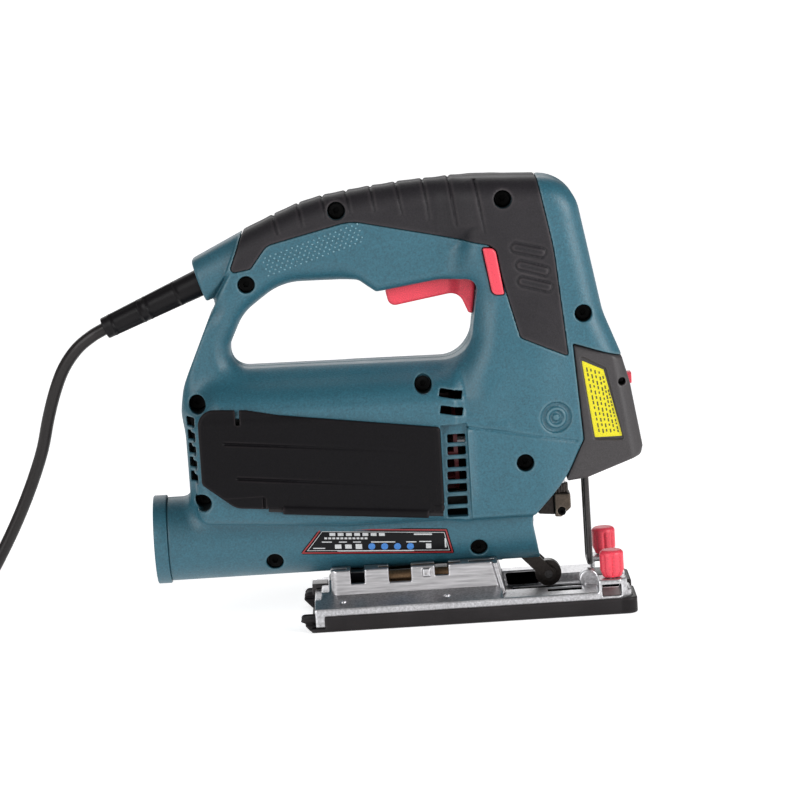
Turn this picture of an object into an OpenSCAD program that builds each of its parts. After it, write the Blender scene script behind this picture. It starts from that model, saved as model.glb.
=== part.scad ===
// Corded D-handle jigsaw: a split housing with a soft grip, a series motor along X, one spur
// reduction, a scotch yoke and plunger, a roller that backs the blade, and a shoe that tilts.
// Frame: X forwards, Y to the left, Z up, origin on the sole at the middle of the shoe.

/* [Housing] */
// Half width of the handle
handle_half = 16.5; // [15:0.5:18]
// Half width of the head and its shoulders
head_half = 24.5; // [23:0.5:26]
// Half width over the motor
motor_half = 33; // [32:0.5:34]
// Half width over the gears
gear_half = 28.5; // [28:0.5:30]
// Thickness of the plastic shell
shell = 2.2; // [1.8:0.1:2.6]
// Thickness of the soft skin over the handle
skin = 2; // [1.5:0.1:2.5]

/* [Dust tube] */
// Height of the tube's axis, which is also the axis that the shoe tilts about
tube_z = 45; // [44:0.5:46]
// Outer radius of the tube
tube_r = 21; // [20:0.5:22]
// Inner radius of the dust port
port_r = 17.5; // [16:0.5:18]

/* [Motor] */
// Height of the motor's axis
motor_z = 86; // [85.8:0.1:86.4]
// Outer radius of the field stack
stack_r = 25.5; // [24:0.5:25.5]
// Radius of the armature core
core_r = 17; // [15:0.5:17]
// Radius of the armature shaft
shaft_r = 4; // [3.5:0.5:4]

/* [Gears] */
// Tooth module
gear_module = 0.75; // [0.75:0.01:0.76]
// Teeth on the pinion
pinion_teeth = 9; // [9:1:9]
// Teeth on the large gear
gear_teeth = 63; // [63:1:63]
// Radius of the crank, half the stroke
crank_r = 9; // [7:0.5:9]

/* [Plunger] */
// Distance of the plunger's axis in front of the origin
plunger_x = 46.5; // [46:0.5:47]
// Radius of the plunger rod
rod_r = 3.5; // [3:0.1:3.5]

/* [Shoe] */
// Length of the metal shoe
shoe_length = 157; // [150:1:160]
// Width of the metal shoe
shoe_width = 74; // [70:1:75]
// Height of the shoe's top face over the sole
shoe_top = 11.5; // [11:0.5:12]
// Width of the blade notch
notch_width = 15; // [13:0.5:16]

/* [Cord] */
// Diameter of the mains cord
cord_d = 6.4; // [6:0.1:7]
// Radius of the coil at the middle of its turns
coil_r = 36; // [34:1:38]

/* [Hidden] */
$fn = 48;

right = -1;
left = 1;
far = 400;                  // longer than the whole tool, for cuts and half spaces
inner = shell + skin;       // from the outside to the hollow where the skin covers the shell
run = 0.05;                 // radial clearance of a running fit
gap = 0.3;                  // gap between pieces that move past each other
label_depth = 0.4;          // thickness of the rating label in its recess
arc_steps = 5;              // segments in each rounded corner of an outline

// ---------- outlines in the XZ plane: [x, z, corner radius], anticlockwise ----------

body_corners = [
    [-137, 45, 0], [34, 45, 0], [32, 48.5, 0], [49.8, 67, 0], [59.4, 86, 0], [56.6, 134.3, 0],
    [81.1, 125.7, 0.5], [72.6, 148, 40], [65, 215.5, 16], [-10, 219.3, 350],
    [-70, 211.5, 100], [-100.5, 198.8, 0], [-129, 185.4, 1.5], [-122.6, 162.6, 0],
    [-137, 137, 45]
];
loop_corners = [
    [-112.5, 130, 9], [5.5, 128.3, 16], [12, 168.5, 1], [-35, 168.5, 0], [-35, 164.6, 0],
    [-38.5, 164.6, 2], [-47, 171, 6], [-85, 171.7, 30], [-105, 157.5, 25], [-112.5, 142, 8]
];
shoulder_corners = [
    [-14, 126, 4], [-14, 60, 0], [32, 60, 0], [49.8, 67, 0], [59.4, 86, 0], [56.6, 134.3, 0],
    [79.63, 126.216, 0], [71, 148, 40], [63, 213, 14], [-4, 214, 8], [-20, 180, 30]
];
motor_corners = [
    [-133, 56, 6], [-60, 51, 20], [-4, 51, 4], [3, 62, 6], [3, 113, 6], [-12, 121, 8],
    [-122, 122, 10], [-134, 112, 8]
];
gear_corners = [
    [-2, 50.3, 2], [33.5, 50.3, 2], [49.8, 67, 0], [59.4, 86, 0], [57.4, 120, 0], [50, 139, 6],
    [4, 139, 6], [-2, 124, 4]
];
nose_corners = [
    [49.8, 67, 0], [51, 62, 1.5], [60, 63, 10], [88, 75, 3], [89.3, 80, 3], [84.6, 112, 20],
    [81.1, 125.7, 0.5], [56.6, 134.3, 0], [59.4, 86, 0]
];
grip_corners = [
    [-101, 202, 0], [-110.5, 178.2, 2], [-99.5, 180, 3], [-91, 191, 8], [-49, 200.6, 25],
    [19.5, 185, 4], [31, 139, 3], [54.3, 128, 1], [50, 182, 150], [42, 225, 0], [-101, 225, 0]
];
door_corners = [
    [-130, 114.5, 8], [-130, 77, 3], [-114, 64.2, 10], [-11.2, 55, 3], [-11, 98.5, 2],
    [-90, 109.5, 30], [-106, 113, 15]
];
trigger_corners = [
    [-34, 170, 0], [-33.8, 164.5, 1], [-30, 156.5, 2.5], [0, 160.4, 6], [6.8, 150, 0.8],
    [8.2, 150.2, 0.5], [9.8, 160, 3], [10.2, 170, 0]
];
lock_corners = [[18.6, 160.9, 1], [24.4, 160.8, 1], [21.2, 183.8, 1.5], [14.9, 184.3, 1]];
nose_label_corners = [[65.2, 86.4, 0.5], [78.9, 86.3, 0.5], [71.2, 119.9, 0.5], [60.4, 125.2, 0.5]];
plate_label_corners = [[-84.7, 36.5, 1], [-7.6, 31.6, 1], [-10.6, 45.3, 1], [-73.6, 49.7, 1]];

// ---------- places ----------

nose_half = 22;
gear_z = motor_z + gear_module * (pinion_teeth + gear_teeth) / 2;
yoke_rise = 6;                          // the crank stands this far above the gear's axis
yoke_z = gear_z + yoke_rise;
crank_y = sqrt(crank_r * crank_r - yoke_rise * yoke_rise);
// Housing screws: x, z and the y of the seat under the head
screw_places = [
    [-102.2, 172.4, -9], [-55.6, 206, -8], [26.3, 207.4, -14], [62.7, 148.8, -14],
    [-18.2, 118.9, -18], [29.9, 76.9, -18], [-130, 115.4, -9], [-130.1, 67.4, -9],
    [-97.2, 33.2, -9], [4.7, 34, -9]
];
screw_head_r = 3.4;
screw_shank_r = 1.6;
screw_well_r = 4.3;
boss_r = 4.4;                           // bosses, and their collars around the wells
well_collar_r = 5.6;
trigger_pivot = [14, 155];              // x, z
fork_pivot = [24, 32];                  // x, z
roller_place = [39, 16];                // x, z
door_hinge = [-55, -34.6, 59];          // a point on the hinge axis
door_slope = 5.1;                       // the hinge axis falls forwards by this angle
door_pin_r = 1.2;
knuckle_r = 2.3;
knuckle_half = 36;                      // half the length of the door's knuckle
pin_half = 43;                          // half the length of the hinge pin
knob_place = [16, 66];                  // x, z of the orbit knob
clamp_room_top = 63.6;                  // room for the clamp's collar at the top of the stroke
fence_knob_x = 69.5;
fence_knob_y = 31;
relief_start = [-126.5, 0, 173];        // where the strain relief leaves the collar
relief_angle = 22.3;                    // how far it points below the horizontal
relief_length = 52;
relief_end = relief_start + relief_length * [-cos(relief_angle), 0, -sin(relief_angle)];
coil_columns = 4;                       // turns side by side in the coil
coil_layers = 2;                        // turns on top of each other
coil_half = coil_columns * cord_d / 2;
coil_height = coil_layers * cord_d;
coil_turn = coil_r + coil_half - cord_d / 2;    // radius of the outermost turn
cord_side = 25;                         // the cord lies this far to the left, clear of the dust port
coil_centre = [-330, cord_side - coil_turn, 0];
plug_start = [-304, cord_side - 2 * coil_turn, 12.5];   // where the cord enters the plug
tail_length = 22;                       // cord between the coil and the plug

// The cord from the strain relief down to the surface and along it to the coil
cord_route = [
    relief_end, [-181, 0, 150], [-189, 1.5, 144], [-196.5, 4, 134.5], [-202, 7, 123],
    [-207, 11, 108.5], [-211.5, 15, 92.5], [-218, 19, 76], [-226.5, 22, 58],
    [-235.5, 24, 41.5], [-245, cord_side, 26.5], [-256, cord_side, 15], [-269, cord_side, 7.5],
    [-283, cord_side, 4], [-297, cord_side, cord_d / 2], [-313, cord_side, cord_d / 2],
    [-330, cord_side, cord_d / 2]
];

// ---------- functions ----------

function along(a, b) = (b - a) / norm(b - a);
function flat(p) = [p[0], p[1]];
function turn(a, b, c) = let (u = along(a, b), v = along(b, c)) u[0] * v[1] - u[1] * v[0];
function before(p, i) = p[(i + len(p) - 1) % len(p)];
function after(p, i) = p[(i + 1) % len(p)];

// Moves every edge of an outline inwards by d; its corner radii follow
function inset(p, d) = [
    for (i = [0:len(p) - 1])
        let (a = flat(before(p, i)), b = flat(p[i]), c = flat(after(p, i)),
             u = along(a, b), v = along(b, c), s = [-u[1] - v[1], u[0] + v[0]],
             q = b + s * (2 * d / (s * s)),
             r = p[i][2] - (turn(a, b, c) > 0 ? d : -d))
        [q[0], q[1], p[i][2] > 0 ? max(r, 0) : 0]
];

// One corner: a point, or an arc of radius r that touches both edges
function corner(a, b, c, r) =
    let (u = along(a, b), v = along(b, c), s = turn(a, b, c),
         angle = acos(max(-1, min(1, u * v))), setback = r * tan(angle / 2),
         start = b - u * setback, side = s > 0 ? 1 : -1,
         centre = start + r * side * [-u[1], u[0]])
    r <= 0 || angle < 0.5 ? [b] : [
        for (k = [0:arc_steps])
            let (t = side * angle * k / arc_steps, d = start - centre)
            centre + [d[0] * cos(t) - d[1] * sin(t), d[0] * sin(t) + d[1] * cos(t)]
    ];

function rounded(p) = [
    for (i = [0:len(p) - 1])
        each corner(flat(before(p, i)), flat(p[i]), flat(after(p, i)), p[i][2])
];

// Involute tooth flank at radius r of a gear with the given base radius, as an angle
function roll(r, base) = let (t = sqrt(max(0, r * r / (base * base) - 1)))
    t * 180 / PI - atan(t);

// A spur gear's outline: each tooth has flanks that follow the involute
function gear_outline(teeth, top, backlash) =
    let (pitch = gear_module * teeth / 2, base = pitch * cos(20), root = pitch - 1.25 * gear_module,
         tip = pitch + top * gear_module, half = 90 / teeth - backlash / pitch * 90 / PI,
         start = max(root, base), flank = [for (k = [0:3]) start + (tip - start) * k / 3])
    [
        for (n = [0:teeth - 1])
            let (mid = 360 * n / teeth)
            each concat(
                [[root, mid - half - roll(pitch, base)]],
                [for (r = flank) [r, mid - half - roll(pitch, base) + roll(r, base)]],
                [for (k = [3:-1:0]) [flank[k], mid + half + roll(pitch, base) - roll(flank[k], base)]],
                [[root, mid + half + roll(pitch, base)]])
    ];
function polar(p) = [for (q = p) [q[0] * cos(q[1]), q[0] * sin(q[1])]];

// ---------- helpers ----------

// A prism of an XZ outline between two values of y
module prism(points, y0, y1) {
    translate([0, y1, 0]) rotate([90, 0, 0]) linear_extrude(y1 - y0) polygon(points);
}
module slab(corners, half, side) {
    prism(rounded(corners), side < 0 ? -half : 0, side < 0 ? 0 : half);
}
module box(low, high) {
    translate(low) cube(high - low);
}
module rod_x(x0, x1, r, y = 0, z = 0) {
    translate([x0, y, z]) rotate([0, 90, 0]) cylinder(h = x1 - x0, r = r);
}
module rod_y(y0, y1, r, x = 0, z = 0) {
    translate([x, y1, z]) rotate([90, 0, 0]) cylinder(h = y1 - y0, r = r);
}
module rod_z(z0, z1, r, x = 0, y = 0) {
    translate([x, y, z0]) cylinder(h = z1 - z0, r = r);
}
module ring_x(x0, x1, outer, hole, z = 0) {
    difference() {
        rod_x(x0, x1, outer, 0, z);
        rod_x(x0 - 1, x1 + 1, hole, 0, z);
    }
}
module half_space(side) {
    translate([-far / 2, side < 0 ? -far : 0, -far / 2]) cube([far, far, far]);
}
module at_relief() {
    translate(relief_start) rotate([0, -90 - relief_angle, 0]) children();
}
module at_door_hinge() {
    translate(door_hinge) rotate([0, door_slope, 0]) children();
}

// ---------- housing ----------

module body_solid(side) {
    slab(body_corners, handle_half, side);
    slab(shoulder_corners, head_half, side);
    slab(motor_corners, motor_half, side);
    slab(gear_corners, gear_half, side);
    intersection() {
        rod_x(-149.7, 34.5, tube_r, 0, tube_z);
        half_space(side);
    }
}

// What is left of the handle and head under the soft skin
module under_skin(side) {
    slab(inset(body_corners, skin), handle_half - skin, side);
    slab(inset(shoulder_corners, skin), head_half - skin, side);
    slab(gear_corners, gear_half, side);
}

module handle_hollow(side) {
    difference() {
        union() {
            slab(inset(body_corners, inner), handle_half - inner, side);
            slab(inset(shoulder_corners, inner), head_half - inner, side);
        }
        slab(inset(loop_corners, -shell), far, side);
        box([-far, -far, -far], [2, far, 124]);
        box([-far, -far, -far], [far, far, 64]);
    }
}

module motor_hollow() {
    rod_x(-118, 3, stack_r, 0, motor_z);
    rod_x(-127, -119, 9.5, 0, motor_z);
    rod_x(-128, -117, shaft_r + 2, 0, motor_z);
    box([-119, -6, 100], [-113.5, 6, 128]);
}

module dust_duct() {
    rod_x(-150, -137, port_r + 1.5, 0, tube_z);
    rod_x(-138, 28, 16, 0, tube_z - 1.5);
}

module vents(side) {
    inlet_count = 5;
    outlet_count = 7;
    for (i = [0:inlet_count - 1])
        box([-140, side < 0 ? -22 : 11.5, 77 + 7 * i], [-117, side < 0 ? -11.5 : 22, 81.6 + 7 * i]);
    for (i = [0:outlet_count - 1])
        box([-9.4 + 0.4 * i, side < 0 ? -far : 16, 52 + 6.2 * i],
            [-0.6 + 0.4 * i, side < 0 ? -16 : far, 56.1 + 6.2 * i]);
    for (z = [104, 113.4])
        translate([-5, side * 25, z]) rotate([0, 14, 0]) cube([11, 20, 4], center = true);
}

module screw_wells() {
    for (s = screw_places) {
        rod_y(-far, s[2], screw_well_r, s[0], s[1]);
        rod_y(s[2] - 1, 9, screw_shank_r, s[0], s[1]);
    }
}

module trigger_room() {
    box([-35.5, -7.6, 160], [14.5, 7.6, 180]);
    box([6, -3.6, 149], [18, 3.6, 161]);
}

module plunger_room() {
    rod_z(50, 96, rod_r + 0.7, plunger_x, 0);
    rod_z(50, clamp_room_top, 5.6, plunger_x, 0);
    box([38, -9, 44], [54, 9, 62]);
}

module fork_room() {
    box([16.5, -6.6, 18], [38, 6.6, 42]);
}

// Pocket for spare blades behind the door, and the groove for the door's knuckle
module door_room() {
    prism(rounded(inset(door_corners, 5)), -far, -28);
    at_door_hinge() {
        rod_x(-knuckle_half - gap, knuckle_half + gap, knuckle_r + gap);
        rod_x(-pin_half, pin_half, door_pin_r);
    }
}
module door_lugs() {
    at_door_hinge() for (x = [-pin_half, knuckle_half + gap])
        rod_x(x, x + pin_half - knuckle_half - gap, knuckle_r);
}

module housing_half(side) {
    difference() {
        union() {
            difference() {
                body_solid(side);
                difference() {
                    slab(grip_corners, far, side);
                    under_skin(side);
                }
                handle_hollow(side);
                slab(inset(gear_corners, 2.5), gear_half - 2.5, side);
                motor_hollow();
                dust_duct();
            }
            intersection() {
                body_solid(side);
                for (s = screw_places) {
                    rod_y(-far / 2, s[2] + 2.5, well_collar_r, s[0], s[1]);
                    rod_y(s[2] + 2, far / 2, boss_r, s[0], s[1]);
                }
                under_skin(side);
            }
            intersection() {
                for (s = [screw_places[8], screw_places[9]])
                    rod_y(-19, 19, screw_well_r, s[0], s[1]);
                rod_x(-149, 34, tube_r - 0.5, 0, tube_z);
                half_space(side);
            }
        }
        slab(loop_corners, far, side);
        prism(rounded(nose_corners), -far, far);
        vents(side);
        screw_wells();
        trigger_room();
        plunger_room();
        fork_room();
        rod_y(-11, 11, 2.5, fork_pivot[0], fork_pivot[1]);
        rod_y(-8, 8, 1.5, trigger_pivot[0], trigger_pivot[1]);
        at_relief() cylinder(h = 60, r = 6.75, center = true);
    }
}

module housing_right() {
    color([0.25, 0.42, 0.48]) difference() {
        union() {
            housing_half(right);
            door_lugs();
        }
        door_room();
        prism(rounded(inset(lock_corners, -gap)), -far, -head_half + inner + 1);
        intersection() {
            ring_x(-100, 0, tube_r + 2, tube_r - label_depth, tube_z);
            prism(rounded(plate_label_corners), -far, -12);
        }
        rod_y(-far, -gear_half + 1, 7.7, 46.4, 98.4);
    }
}

module housing_left() {
    color([0.25, 0.42, 0.48]) difference() {
        housing_half(left);
        rod_y(gear_half - 4, far, 3 + run, knob_place[0], knob_place[1]);
    }
}

module grip_half(side) {
    color([0.22, 0.2, 0.21]) difference() {
        intersection() {
            slab(grip_corners, far, side);
            union() {
                slab(body_corners, handle_half, side);
                slab(shoulder_corners, head_half, side);
            }
        }
        under_skin(side);
        slab(loop_corners, far, side);
        for (s = screw_places)
            rod_y(-far, 0, screw_well_r, s[0], s[1]);
        if (side < 0) prism(rounded(inset(lock_corners, -gap)), -far, 0);
    }
}
module grip_right() { grip_half(right); }
module grip_left() { grip_half(left); }

module nose_cover() {
    color([0.27, 0.25, 0.26]) difference() {
        prism(rounded(nose_corners), -nose_half, nose_half);
        prism(rounded(inset(nose_corners, 2.5)), -nose_half + 2.5, nose_half - 2.5);
        prism(rounded(nose_label_corners), -far, -nose_half + 0.5);
        rod_z(50, 96, rod_r + 0.7, plunger_x, 0);
        rod_z(50, clamp_room_top, 5.6, plunger_x, 0);
        for (y = [-9, 9])
            rod_z(50, 72, 1.5, 60, y);
        rod_z(60, 75, 3.5, 70, 0);
        box([80, -4.2, 109.5], [90, 4.2, 115.5]);
    }
}

module labels() {
    color([0.95, 0.88, 0.05]) prism(rounded(nose_label_corners), -nose_half, -nose_half + 0.5);
    color([0.08, 0.08, 0.08]) intersection() {
        ring_x(-100, 0, tube_r, tube_r - label_depth, tube_z);
        prism(rounded(plate_label_corners), -far, -12);
    }
}

module housing_screws() {
    color([0.15, 0.15, 0.16]) for (s = screw_places) difference() {
        union() {
            rod_y(s[2] - 3, s[2], screw_head_r, s[0], s[1]);
            rod_y(s[2], 9, screw_shank_r, s[0], s[1]);
        }
        translate([s[0], s[2] - 3, s[1]]) rotate([90, 0, 0]) cylinder(h = 3.6, r = 1.7, center = true, $fn = 6);
    }
}

// ---------- gear case and bearings ----------

module gear_case() {
    arm_half = 6.9;
    color([0.72, 0.73, 0.74]) difference() {
        union() {
            box([4, -22, 68], [16, 22, 128]);
            prism([[14, 67.5], [36, 67.5], [40.5, 80.5], [plunger_x, 80.5], [plunger_x, 92],
                   [39, 92], [34, 82], [30, 80.5], [14, 80.5]], -arm_half, arm_half);
            rod_z(80.5, 92, arm_half, plunger_x, 0);
            prism([[13, 126], [16, 126], [19, 139], [plunger_x, 140], [plunger_x, 150], [16, 150],
                   [13, 142]], -arm_half, arm_half);
            rod_z(140, 150, arm_half, plunger_x, 0);
        }
        rod_x(3, 13, 11, 0, motor_z);
        rod_x(3, 18, 6, 0, motor_z);
        rod_x(6, 18, 4, 0, gear_z);
        rod_z(60, 160, 5.5, plunger_x, 0);
        rod_y(-far, far, boss_r + 0.4, screw_places[5][0], screw_places[5][1]);
    }
}

module motor_bearings() {
    color([0.6, 0.6, 0.62]) {
        ring_x(6, 13, 11, shaft_r + run, motor_z);
        ring_x(-126, -119, 9.5, shaft_r + run, motor_z);
    }
}

module gear_spindle() {
    color([0.55, 0.55, 0.57]) rod_x(6, 28, 4, 0, gear_z);
}

module plunger_bushes() {
    color([0.72, 0.52, 0.3]) for (z = [80.5, 140]) difference() {
        rod_z(z, z + (z < 100 ? 11.5 : 10), 5.5, plunger_x, 0);
        rod_z(z - 1, z + 13, rod_r + run, plunger_x, 0);
    }
}

module plunger_seal() {
    color([0.2, 0.2, 0.2]) difference() {
        rod_z(76.5, 80.5, 4.2, plunger_x, 0);
        rod_z(76, 81, rod_r + run, plunger_x, 0);
    }
}

// ---------- motor ----------

module field_stack() {
    color([0.4, 0.41, 0.43]) difference() {
        rod_x(-82, -32, stack_r, 0, motor_z);
        rod_x(-83, -31, core_r + 0.6, 0, motor_z);
        for (side = [left, right])
            box([-83, side < 0 ? -21.5 : 16, motor_z - 5], [-31, side < 0 ? -16 : 21.5, motor_z + 5]);
    }
}

module field_coils() {
    color([0.72, 0.4, 0.18]) for (x = [-90, -32]) difference() {
        ring_x(x, x + 8, 24, core_r + 1.5, motor_z);
        for (side = [left, right])
            box([-far, side < 0 ? -far : 12, 60], [far, side < 0 ? -12 : far, 112]);
    }
}

module armature_shaft() {
    color([0.7, 0.7, 0.72]) rod_x(-126.5, 17, shaft_r, 0, motor_z);
}

module armature_core() {
    slots = 12;
    color([0.45, 0.46, 0.48]) difference() {
        ring_x(-82, -32, core_r, shaft_r, motor_z);
        for (i = [0:slots - 1])
            translate([-57, 0, motor_z]) rotate([360 / slots * i, 0, 0])
                translate([0, 0, core_r]) cube([52, 1.6, 6], center = true);
    }
}

module armature_windings() {
    color([0.75, 0.38, 0.15]) {
        ring_x(-92, -82, 15, shaft_r, motor_z);
        ring_x(-32, -24, 15, shaft_r, motor_z);
    }
}

module commutator() {
    bars = 24;
    color([0.8, 0.5, 0.25]) difference() {
        ring_x(-112, -97, 11, shaft_r, motor_z);
        for (i = [0:bars - 1])
            translate([-105, 0, motor_z]) rotate([360 / bars * i, 0, 0])
                translate([0, 0, 11]) cube([16, 0.5, 1.6], center = true);
    }
}

module brush_pair(x0, x1, y0, y1, half) {
    for (side = [left, right])
        box([x0, side < 0 ? -y1 : y0, motor_z - half], [x1, side < 0 ? -y0 : y1, motor_z + half]);
}

module brush_holders() {
    color([0.78, 0.66, 0.35]) difference() {
        brush_pair(-110, -99, 12.5, 24.4, 6);
        brush_pair(-107.5, -101.5, 12, 23, 4);
    }
}

module carbon_brushes() {
    color([0.12, 0.12, 0.12]) brush_pair(-107.5, -101.5, 11.1, 19, 4);
}

module brush_springs() {
    color([0.65, 0.65, 0.67]) for (side = [left, right]) difference() {
        rod_y(side < 0 ? -23 : 19, side < 0 ? -19 : 23, 2.6, -104.5, motor_z);
        rod_y(-24, 24, 1.8, -104.5, motor_z);
    }
}

module fan() {
    blades = 11;
    color([0.16, 0.16, 0.17]) {
        difference() {
            union() {
                rod_x(-14, -3, 7, 0, motor_z);
                rod_x(-5, -3, 24.5, 0, motor_z);
                for (i = [0:blades - 1])
                    translate([-9.5, 0, motor_z]) rotate([360 / blades * i, 0, 0])
                        translate([0, 0.8, 15.5]) cube([9.2, 1.6, 17.6], center = true);
            }
            rod_x(-15, -2, shaft_r, 0, motor_z);
        }
    }
}

module fan_baffle() {
    color([0.14, 0.14, 0.15]) ring_x(-20, -17.5, stack_r, 16.5, motor_z);
}

module pinion() {
    color([0.6, 0.6, 0.62]) translate([17, 0, motor_z]) rotate([90, 0, 90])
        rotate([0, 0, 180 / pinion_teeth + 90]) linear_extrude(12)
            polygon(polar(gear_outline(pinion_teeth, 0.8, 0.12)));
}

module drive_gear() {
    web_holes = 6;
    color([0.58, 0.58, 0.6]) difference() {
        translate([20, 0, gear_z]) rotate([90, 0, 90]) rotate([0, 0, -90]) linear_extrude(7)
            polygon(polar(gear_outline(gear_teeth, 0.75, 0.12)));
        rod_x(19, 30, 4 + run, 0, gear_z);
        for (i = [0:web_holes - 1])
            translate([19, 0, gear_z]) rotate([360 / web_holes * i + 12, 0, 0])
                translate([0, 0, 16.5]) rotate([0, 90, 0]) cylinder(h = 9, r = 3.4);
    }
}

module crank_pin() {
    color([0.7, 0.7, 0.72]) rod_x(27, 37, rod_r, crank_y, yoke_z);
}

module counterweight() {
    color([0.5, 0.5, 0.52]) difference() {
        rod_x(27, 30.5, 20, 0, gear_z);
        rod_x(26, 32, 5, 0, gear_z);
        translate([26, 0, gear_z]) rotate([atan2(yoke_rise, crank_y), 0, 0])
            translate([0, -3, -far / 2]) cube([10, far, far]);
    }
}

// ---------- plunger ----------

module plunger_rod() {
    color([0.75, 0.75, 0.77]) rod_z(50, 158, rod_r, plunger_x, 0);
}

module yoke() {
    color([0.5, 0.5, 0.52]) difference() {
        union() {
            box([37.4, -17, yoke_z - 9], [41.4, 17, yoke_z + 9]);
            box([41.4, -5.5, yoke_z - 7], [51, 5.5, yoke_z + 7]);
        }
        box([37, -crank_r - rod_r - 0.2, yoke_z - rod_r - 0.1],
            [41.4, crank_r + rod_r + 0.2, yoke_z + rod_r + 0.1]);
        rod_z(50, 158, rod_r, plunger_x, 0);
    }
}

module blade_clamp() {
    color([0.35, 0.32, 0.29]) difference() {
        union() {
            box([43.5, -6.5, 44.7], [52, 6.5, 56.9]);
            rod_z(56.9, 60, 5, plunger_x, 0);
        }
        rod_z(50, 61, rod_r, plunger_x, 0);
        box([43, -0.8, 44], [50.5, 0.8, 50]);
        rod_y(-7, -0.8, 2, 47.5, 47.4);
    }
}

module clamp_screw() {
    color([0.2, 0.2, 0.21]) difference() {
        rod_y(-6, -0.9, 2, 47.5, 47.4);
        translate([47.5, -6, 47.4]) rotate([90, 0, 0]) cylinder(h = 4, r = 1.1, center = true, $fn = 6);
    }
}

// ---------- roller guide ----------

module roller_fork() {
    reach = roller_place - fork_pivot;
    angle = atan2(reach[1], reach[0]);
    color([0.24, 0.22, 0.21]) difference() {
        union() {
            for (side = [left, right]) {
                low = side < 0 ? -6 : 3.4;
                rod_y(low, low + 2.6, 4.4, fork_pivot[0], fork_pivot[1]);
                rod_y(low, low + 2.6, 3.8, roller_place[0], roller_place[1]);
                translate([fork_pivot[0], low, fork_pivot[1]]) rotate([0, -angle, 0])
                    translate([0, 0, -3.4]) cube([norm(reach), 2.6, 6.8]);
            }
            translate([fork_pivot[0], -3.5, fork_pivot[1]]) rotate([0, -angle, 0])
                translate([-3, 0, -3.4]) cube([14, 7, 6.8]);
        }
        rod_y(-7, 7, 2.5 + run, fork_pivot[0], fork_pivot[1]);
        rod_y(-7, 7, 2, roller_place[0], roller_place[1]);
    }
}

module roller_pin() {
    color([0.4, 0.4, 0.42]) rod_y(-6.4, 6.4, 2, roller_place[0], roller_place[1]);
}

module guide_roller() {
    color([0.3, 0.29, 0.28]) difference() {
        rod_y(-3, 3, 6.6, roller_place[0], roller_place[1]);
        rod_y(-1, 1, 8, roller_place[0] + 13.6, roller_place[1]);
        rod_y(-4, 4, 2 + run, roller_place[0], roller_place[1]);
    }
}

module orbit_knob() {
    color([0.13, 0.13, 0.14]) {
        rod_y(gear_half - 3.8, gear_half + gap, 3, knob_place[0], knob_place[1]);
        rod_y(gear_half + gap, gear_half + 4, 11, knob_place[0], knob_place[1]);
        translate([knob_place[0], gear_half + 4, knob_place[1]])
            rotate([0, 35, 0]) box([-3, 0, -10], [3, 5, 10]);
    }
}

// ---------- controls ----------

module trigger() {
    color([0.85, 0.2, 0.26]) difference() {
        union() {
            prism(rounded(trigger_corners), -7, 7);
            prism([[5, 152.5], [14, 152.5], [14, 157.5], [5, 157.5]], -3, 3);
            rod_y(-3, 3, 2.5, trigger_pivot[0], trigger_pivot[1]);
        }
        rod_y(-4, 4, 1.5 + run, trigger_pivot[0], trigger_pivot[1]);
        box([10.6, -1, 150], [18, 1, 160]);
    }
}

module trigger_spring() {
    color([0.65, 0.65, 0.67]) difference() {
        rod_y(-0.9, 0.9, 2.3, trigger_pivot[0], trigger_pivot[1]);
        rod_y(-1, 1, 1.5, trigger_pivot[0], trigger_pivot[1]);
    }
}

module lock_button() {
    color([0.85, 0.2, 0.26]) {
        prism(rounded(lock_corners), -head_half - 1.6, -head_half + inner);
        prism(rounded(inset(lock_corners, -1.2)), -head_half + inner, -head_half + inner + 1.2);
    }
}

module laser_button() {
    color([0.85, 0.2, 0.26]) {
        box([80.4, -3.9, 109.8], [86, 3.9, 115.2]);
        box([78.8, -5, 108.6], [80.4, 5, 116.4]);
    }
}

module storage_door() {
    color([0.17, 0.15, 0.16]) difference() {
        union() {
            intersection() {
                prism(rounded(door_corners), -motor_half - 2.6, -motor_half - 0.05);
                at_door_hinge() box([-far / 2, -50, 0], [far / 2, 50, far]);
            }
            at_door_hinge() rod_x(-knuckle_half, knuckle_half, knuckle_r);
        }
        at_door_hinge() {
            rod_x(-knuckle_half - 1, knuckle_half + 1, door_pin_r + run);
            for (x = [-pin_half - gap, knuckle_half])
                box([x, -5, -5], [x + pin_half - knuckle_half + gap, 5, knuckle_r + gap]);
        }
        box([-111, -far, 108], [-109.4, -20, 120]);
    }
}

module switch_body() {
    color([0.1, 0.1, 0.1]) {
        box([-32, -8, 181], [2, 8, 199]);
        box([-24, -3, 178], [-16, 3, 181]);
    }
}

module cord_clamp() {
    color([0.2, 0.2, 0.2]) box([-114, -9, 181], [-106, 9, 185]);
}

module capacitor() {
    color([0.85, 0.75, 0.3]) box([-126.5, -6, 129], [-116.5, 6, 141]);
}

module laser_module() {
    color([0.65, 0.55, 0.3]) {
        rod_z(73.5, 96, 5, 70, 0);
        rod_z(72.5, 73.5, 3, 70, 0);
    }
}

module finger_guard() {
    color([0.2, 0.19, 0.19]) {
        for (y = [-9, 9]) {
            rod_z(21, 70, 1.5, 60, y);
            translate([60, y, 21]) sphere(r = 1.5, $fn = 24);
        }
        rod_y(-9, 9, 1.5, 60, 21);
    }
}

module hinge_pins() {
    color([0.6, 0.6, 0.62]) {
        at_door_hinge() rod_x(-pin_half, pin_half, door_pin_r);
        rod_y(-8, 8, 1.5, trigger_pivot[0], trigger_pivot[1]);
        rod_y(-11, 11, 2.5, fork_pivot[0], fork_pivot[1]);
    }
}

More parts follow.
